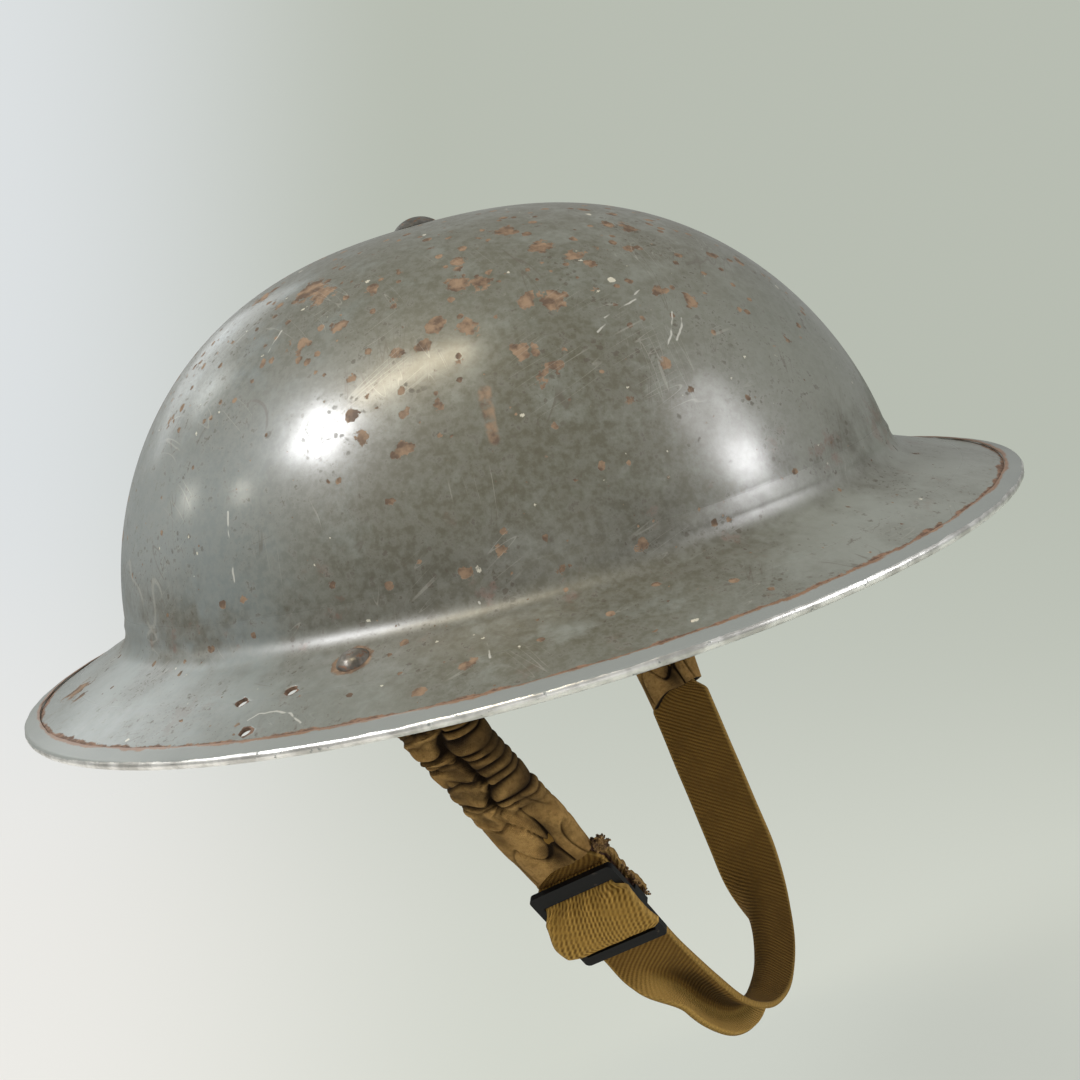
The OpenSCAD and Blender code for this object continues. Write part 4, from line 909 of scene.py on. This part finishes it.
# ---- Sleeves ----
# Each pair of springs runs in a sleeve of brown cotton, sewn down its middle into two channels that are
# gathered into tight folds while the springs are short, with a flat flap over the webbing's sewn end.
SLEEVE_TOP, SLEEVE_END, THREAD = 15.7, 79.6, 0.62


def sleeve():
    """An oval tube: a flattened ring at each distance down, pushed out by folds whose phase runs down each
    channel at its own pitch, bent across it, with sharp valleys, and pulled in along a wandering seam. Gives
    its grid, its texture coordinates and a value for painted shade that follows how far the folds stand out,
    with the lining inside set darkest."""
    down = np.linspace(0, 1, 300)[:, None]
    a = np.linspace(0, 2 * np.pi, 176, endpoint=False)[None]
    c, s = np.cos(a), np.sin(a)
    side = np.sign(c) * np.abs(c) ** 0.78
    d = SLEEVE_TOP + (SLEEVE_END - SLEEVE_TOP) * down
    flat = np.clip((d - 50) / 14, 0, 1)
    flat = flat * flat * (3 - 2 * flat)
    half = 10.3 * (1 - flat) + (11.4 - 1.0 * np.clip((d - 70) / 10, 0, 1)) * flat
    thick = 4.9 * (1 - flat) + 3.7 * flat
    x = side * half
    seam = 0.5 + 1.1 * np.sin(d / 3.1 + 0.8) + 0.6 * np.sin(d / 1.7)
    wild = ripple(x / 20, d / 20, 11, (0.6, 1.0, 1.5, 2.2), 1.0)
    loose = ripple(x / 20, d / 20, 17, (0.9, 1.6, 2.4, 3.2), 1.0)
    rear = d + 0.12 * x + 2.3 * wild + 0.8 * np.sin(x / 1.9 + d / 4)
    front = d - 0.16 * x + 1.5 * wild + 1.7
    which = 1 / (1 + np.exp((x - seam) / 0.5))
    rear_fold = 0.75 * np.abs(np.sin(np.pi * rear / 7.0)) ** 0.5 \
        + 0.35 * np.abs(np.sin(np.pi * (rear / 3.7 + 0.35 * loose))) ** 0.8
    front_fold = np.abs(np.sin(np.pi * front / 3.7)) ** 0.6
    folds = which * (2.7 * rear_fold - 1.6) + (1 - which) * (1.7 * front_fold - 1.0)
    folds = folds * (0.72 + 0.38 * np.clip(loose, -1.2, 1.6))
    flap = 0.70 * ripple(x / 18, d / 24, 31, (0.7, 1.1, 1.6, 2.4), 1.0, 0.6) - 1.3 * np.exp(
        -(ripple(x / 13, d / 15, 34, (0.6, 1.0, 1.5), 1.0) / 0.15) ** 2)
    valley = -2.1 * np.exp(-((x - seam) / 1.1) ** 2) * (1 - flat)
    edge = 0.55 + 0.45 * np.abs(s)
    push = (folds * edge + valley * np.abs(s)) * (1 - flat) + flap * flat * np.abs(s) * 0.8
    fade = np.clip((d - SLEEVE_TOP) / 2.5, 0.35, 1)
    push = push * fade
    out = np.sign(s) * np.abs(s) ** 0.62 * thick
    lower = (3.6 * np.clip(-x / 11, 0, 1) ** 1.4 + 0.3 * np.sin(x / 2.3)) * np.clip((d - 66) / 13, 0, 1)
    weave = d + lower + 0.5 * (1 - flat) * push * np.sin(np.pi * rear / 3.3)
    skin = strap_place(x + push * c * 0.9, out + push * np.sign(s) * np.abs(s) ** 0.5, weave)
    lining = strap_place(x * 0.82, out * 0.58, d + lower)[::-4]
    rise = np.concatenate([d[:, 0], d[::-4, 0], d[:1, 0]])
    # Painted shade for the cotton, following how far the folds push out: low in their valleys, raised on the
    # flat flap, and darkest on the lining inside.
    shade = push - 0.6 * valley * np.abs(s) * (1 - flat) * fade - 0.15 * (1 - flat) + 0.74 * flat
    depth = np.concatenate([shade, np.full(lining.shape[:2], -2.0)])
    return np.concatenate([skin, lining]), (rise, np.linspace(0, 62, 177)), depth


brown, inputs, where = surface_of("brown sleeve cotton", 0.0, 0.95, Specular_IOR_Level=0.15)
here, uv = where["Object"], split(where["UV"])
weave = sine(uv["X"] * (2 * math.pi / THREAD)) * sine(uv["Y"] * (2 * math.pi / THREAD))
slub = grain(here, 700.0, 4.0, 0.7)
tint = mix(ramp(grain(here, 90.0, 5.0, 0.7), 0.34, 0.66), (0.250, 0.142, 0.047), (0.400, 0.240, 0.084))
tint = mix(ramp(slub, 0.42, 0.70, 0.0, 0.55), tint, (0.130, 0.070, 0.023))
# Painted shade: near black where the stored value is low, in the folds' valleys and on the lining.
tint = mix(ramp(stored(where, "depth"), 1.15, -0.60), tint, (0.012, 0.006, 0.002))
lead(inputs, Base_Color=tint)
raised(inputs, weave * 0.3 + slub, 0.55, 0.0005)
grid, uv, depth = sleeve()
for piece, label, flip in both_sides("{}_gathered_sleeve", grid, wrap_rows=True, wrap_cols=True, uv=uv):
    # Stores the painted shade value on the sleeve's points.
    mark(piece, "depth", depth)
    piece.data.materials.append(brown)
    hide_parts(label + "_sleeve")
    tuple(strap_place(0, 0, 16.0) * MM * flip)
    tuple(strap_place(0, 0, LOOP_AT) * MM * flip)
    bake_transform(piece)

# ---- Webbing ----
# The chinstrap is one length of khaki cotton twill webbing, sewn round the spring loop on each side; its
# rear edge has curled outward under the chin from years of wear.
WEB_W, SEWN_W, WEB_T, LOOP_LOW, BUCKLE_AT, BUCKLE_L = 22.0, 15.0, 1.8, 70.0, 84.0, 29.0


def smooth(t):
    """Eases from 0 to 1."""
    t = np.clip(t, 0, 1)
    return t * t * (3 - 2 * t)


def webbing(name, dark, light, worn, rib=(0.52, 0.66), yarn=(-0.77, 1.20), share=0.16):
    """Twill webbing: slanting ribs crossed by the yarns that make them, painted shade in the hollows, paler
    along both edges, and painted light and shade from the stored bend; the texture coordinates are
    millimetres across and along, rib and yarn give the waves in a millimetre across and along, and share is
    the yarns' height."""
    made, inputs, where = surface_of(name, 0.0, 0.95, Specular_IOR_Level=0.12)
    here, uv = where["Object"], split(where["UV"])
    shift = (grain(here, 160.0, 2.0) - 0.5) * 2.2
    ribs, yarns = (sine(uv["X"] * (across * 2 * math.pi) + uv["Y"] * (along * 2 * math.pi) + shift)
                   for across, along in (rib, yarn))
    height = ribs * 0.5 + yarns * share + grain(here, 900.0, 3.0, 0.7) * 0.4
    tint = mix(ramp(height, -0.60, 0.95), dark, light)
    tint = mix(ramp(grain(here, 120.0, 5.0, 0.7), 0.40, 0.72), tint, worn)
    # Painted shade: darker where ambient occlusion finds the cloth hemmed in by nearby surfaces.
    hollow = put(where.tree, "AmbientOcclusion", {"Distance": 0.006}, samples=8, only_local=True)["AO"]
    tint = mix(ramp(hollow, 0.2, 0.8), (dark[0] * 0.4, dark[1] * 0.35, dark[2] * 0.3), tint)
    edge = ramp(abs(uv["X"]), WEB_W / 2 - 0.9, WEB_W / 2 - 0.3)
    tint = mix(edge * 0.55, tint, (0.36, 0.225, 0.065))
    # Painted shade and painted highlight from the stored bend: near black where it is negative, in the curled
    # edge's gutter and on the inner face under the chin, and golden where it is positive, on the lit lip.
    bend = stored(where, "bend")
    tint = mix(ramp(bend, 0.0, -1.0), tint, (0.012, 0.006, 0.002))
    tint = mix(ramp(bend, 0.0, 1.0), tint, (0.33, 0.200, 0.055))
    lead(inputs, Base_Color=tint)
    raised(inputs, height, 0.8, 0.0004)
    return made


d = np.linspace(LOOP_LOW + 2.4, WEB_FULL - LOOP_LOW - 2.4, 420)[:, None]
e = np.minimum(d, WEB_FULL - d)
half = (SEWN_W + (WEB_W - SEWN_W) * smooth((e - 78.5) / 6)) / 2
u = np.linspace(-1, 1, 45)[None]
cupped = smooth((d - 118) / 27) * smooth((WEB_FULL - d - STRAIGHT_L) / 40)
q = 11 * (1 - u[:, ::-1])
tilt = np.radians(cupped * (140 * smooth((q - 6) / 14) - 30))
step = 2 * half / 44
x = half - np.cumsum(np.cos(tilt), 1) * step + step * np.cos(tilt)
middle = np.cumsum(np.sin(tilt), 1) * step - step * np.sin(tilt) - 2.2 * cupped
x, middle, tilt, q = (np.broadcast_to(v, x.shape)[:, ::-1] for v in (x, middle, tilt, q))
middle = middle + 0.12 * ripple(x / 20, d / 40, 41, (0.8, 1.3, 2.1), 1.0)
faces = [strap_place(x + way * WEB_T / 2 * np.sin(tilt), middle + way * WEB_T / 2 * np.cos(tilt), d)
         for way in (1, -1)]
grid = np.concatenate([faces[0], faces[1][:, ::-1]], 1)
across_mm = np.concatenate([u[0] * WEB_W / 2, u[0, ::-1] * WEB_W / 2, [-WEB_W / 2]])
strap = surface("chin_webbing", grid, wrap_cols=True, caps=True, uv=(d[:, 0], across_mm))
# Painted light on the curled lip and painted shade in the gutter beside it and on the strap's inner face
# under the chin, stored as bend.
lip_painted_light = 1.3 * cupped * smooth((q - 12) / 5)
gutter_painted_shade = cupped * smooth((q - 1.0) / 4) * smooth((15 - q) / 4)
mark(strap, "bend", np.concatenate([lip_painted_light - 0.6 * gutter_painted_shade, -0.3 * cupped * np.ones_like(q)], 1))
khaki = webbing("khaki webbing", (0.105, 0.052, 0.011), (0.235, 0.130, 0.030), (0.145, 0.077, 0.018))
k = np.radians(np.arange(0, 360, 10.0))
eye = np.stack([strap_place(w, radius * np.cos(k), LOOP_LOW + radius * np.sin(k))
                for radius, w in ((WIRE + 1.5, -6.0), (WIRE + 1.5, 6.0), (WIRE + 0.3, 6.0),
                                  (WIRE + 0.3, -6.0))])
eyes = [piece for piece, *side in both_sides("webbing_eye_{}", eye, wrap_rows=True, wrap_cols=True)]
for piece in [strap] + eyes:
    piece.data.materials.append(khaki)
    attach(piece, "chin_webbing")
    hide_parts("webbing")

# ---- Loose end of the webbing ----
# The webbing's other end passes behind the buckle and stands out at its front edge, faded, dirty and
# frayed into a tuft of threads.
d = np.linspace(79.5, 106.5, 90)[:, None]
u = np.linspace(0, 1, 40)[None]
front = 13.2 + 0.5 * np.sin(d / 2.2) + 0.3 * np.sin(d / 0.9 + 1) - 0.8 * smooth((84 - d) / 5) \
    - 3.4 * smooth((d - 100) / 6.5)
x = -6.5 + (front + 6.5) * u
rough = 0.35 * ripple(x / 6, d / 6, 51, (0.8, 1.3, 2.0, 3.1), 1.0) * np.clip((x - 6) / 4, 0, 1)
lift = -1.35 - 0.9 * smooth((x - 8) / 4) + 1.3 * smooth((x - 8.5) / 4) * smooth((96 - d) / 12)
faces = [strap_place(x, lift + rough - way * 0.8, d) for way in (-1, 1)]
grid = np.concatenate([faces[0], faces[1][:, ::-1]], 1)
tail = surface("webbing_loose_end", grid, wrap_cols=True, caps=True,
               uv=(d[:, 0], np.concatenate([u[0] * 21, u[0, ::-1] * 21, [0]]) - 9))
frayed = webbing("faded webbing", (0.030, 0.016, 0.014), (0.150, 0.085, 0.062), (0.075, 0.040, 0.033),
                 (0.76, 0.49))
tail.data.materials.append(frayed)
pick = np.random.default_rng(19)
TUFT, EDGE_THREADS, THREAD_R = 320, 60, 0.26
threads = []
for number in range(TUFT + EDGE_THREADS):
    at_top = number < TUFT
    if at_top:
        start = np.array([12.2, -0.8, 80.6]) + pick.uniform(-1, 1, 3) * (1.5, 0.9, 1.5)
    else:
        start = np.array([12.7, pick.uniform(-1.9, -0.6), pick.uniform(84, 104)])
    way = pick.normal(0, 1, 3) + ((0.4, 0.4, -0.6) if at_top else (0.6, 0.2, 0.0))
    way *= pick.uniform(0.5, 1.4 if at_top else 0.7) / np.linalg.norm(way)
    t = np.linspace(0, 1, 7)[:, None]
    curl = np.stack([np.sin(7 * t[:, 0] + pick.uniform(0, 6)), np.cos(6 * t[:, 0] + pick.uniform(0, 6)),
                     np.sin(6 * t[:, 0] + pick.uniform(0, 6))], 1) * t * pick.uniform(0.2, 0.5)
    line = start + way * t + curl
    threads.append(tube(strap_place(*line.T), THREAD_R, 4, False))
fray = surface("webbing_frayed_threads", np.stack(threads), wrap_cols=True, caps=True, flip=True)
fray.data.shade_flat()
thread, inputs, where = surface_of("loose threads", 0.0, 0.95)
hue = ramp(grain(where["Object"], 500.0, 2.0), 0.35, 0.65)
lead(inputs, Base_Color=mix(hue, (0.060, 0.030, 0.016), (0.27, 0.160, 0.060)))
fray.data.materials.append(thread)
for piece in (tail, fray):
    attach(piece, "chin_webbing")
    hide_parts("webbing_tail")

# ---- Slide buckle ----
# A flat steel frame with a middle bar, stamped in one and dipped in black enamel that has worn through
# at its corners; the webbing's doubled end holds it.
enamel, inputs, where = surface_of("black enamel", 0.0, 0.50, Specular_IOR_Level=0.16)
worn = grain(where["Object"], 260.0, 5.0, 0.7)
lead(inputs, Base_Color=mix(ramp(worn, 0.62, 0.70), (0.0055, 0.0052, 0.0060), (0.045, 0.034, 0.028)))
raised(inputs, worn, 0.25, 0.0002)
dress("strap_buckle", enamel)

# ---- Webbing through the buckle ----
# The doubled webbing comes up from under the buckle's upper bar, over the middle bar in a hump that
# bulges past the rear rail, and down under the lower bar, with a few pleats where it is pinched.
LOW, RUN, FOLD_Y = BUCKLE_AT + 4.5, BUCKLE_L - 7.5, 2.1
t = np.linspace(-0.17, 1.14, 130)[:, None]
d = LOW + RUN * t
inside_it = np.clip(t, 0, 1)
u = np.linspace(-1, 1, 64)[None]
bulge = smooth((inside_it - 0.12) / 0.45) * smooth((1.02 - inside_it) / 0.22)
hump = np.sin(np.pi * inside_it) ** 0.42 * (5.2 + 0.5 * np.clip(-u, 0, 1) ** 2)
spread = smooth((inside_it - 0.04) / 0.16) * smooth((0.99 - inside_it) / 0.12)
x = 10.9 * u - (1.6 * spread + 3.4 * bulge) * np.clip(-u, 0, 1) ** 1.8 \
    + 3.4 * spread * np.clip(u, 0, 1) ** 1.8
pleats = 1.25 * np.exp(-((t - 0.10) / 0.16) ** 2) * (t > 0) \
    * np.sin(2 * np.pi * (u * 1.9 + 0.25 * np.sin(5 * t)))
out = FOLD_Y + hump + pleats * np.sin(np.pi * inside_it) ** 0.5 - 0.8 * bulge * smooth((-u - 0.86) / 0.14)
out = out + 0.10 * ripple(x / 12, d / 12, 61, (0.7, 1.2, 2.0), 1.0)
slip = 1.6 * bulge * np.clip(-u, 0, 1) ** 2 - 0.6 * spread
faces = [strap_place(x, out + way * WEB_T / 2, d + slip) for way in (1, -1)]
grid = np.concatenate([faces[0], faces[1][:, ::-1]], 1)
hump_cloth = surface("webbing_through_buckle", grid, wrap_cols=True, caps=True,
                     uv=(d[:, 0], np.concatenate([u[0] * 11, u[0, ::-1] * 11, [-11]])))
# A paler golden copy of the webbing's colours: painted light standing for the light falling on the hump.
hump_cloth.data.materials.append(webbing("golden webbing painted as lit", (0.135, 0.068, 0.013), (0.455, 0.270, 0.066),
                                         (0.34, 0.195, 0.045), (0.907, 0.245), (0.69, 0.71), 0.32))
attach(hump_cloth, "strap_slide")
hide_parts("webbing_fold")

size = {"cad": [list(v) for v in cad_box], "visual": [list(v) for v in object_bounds()]}
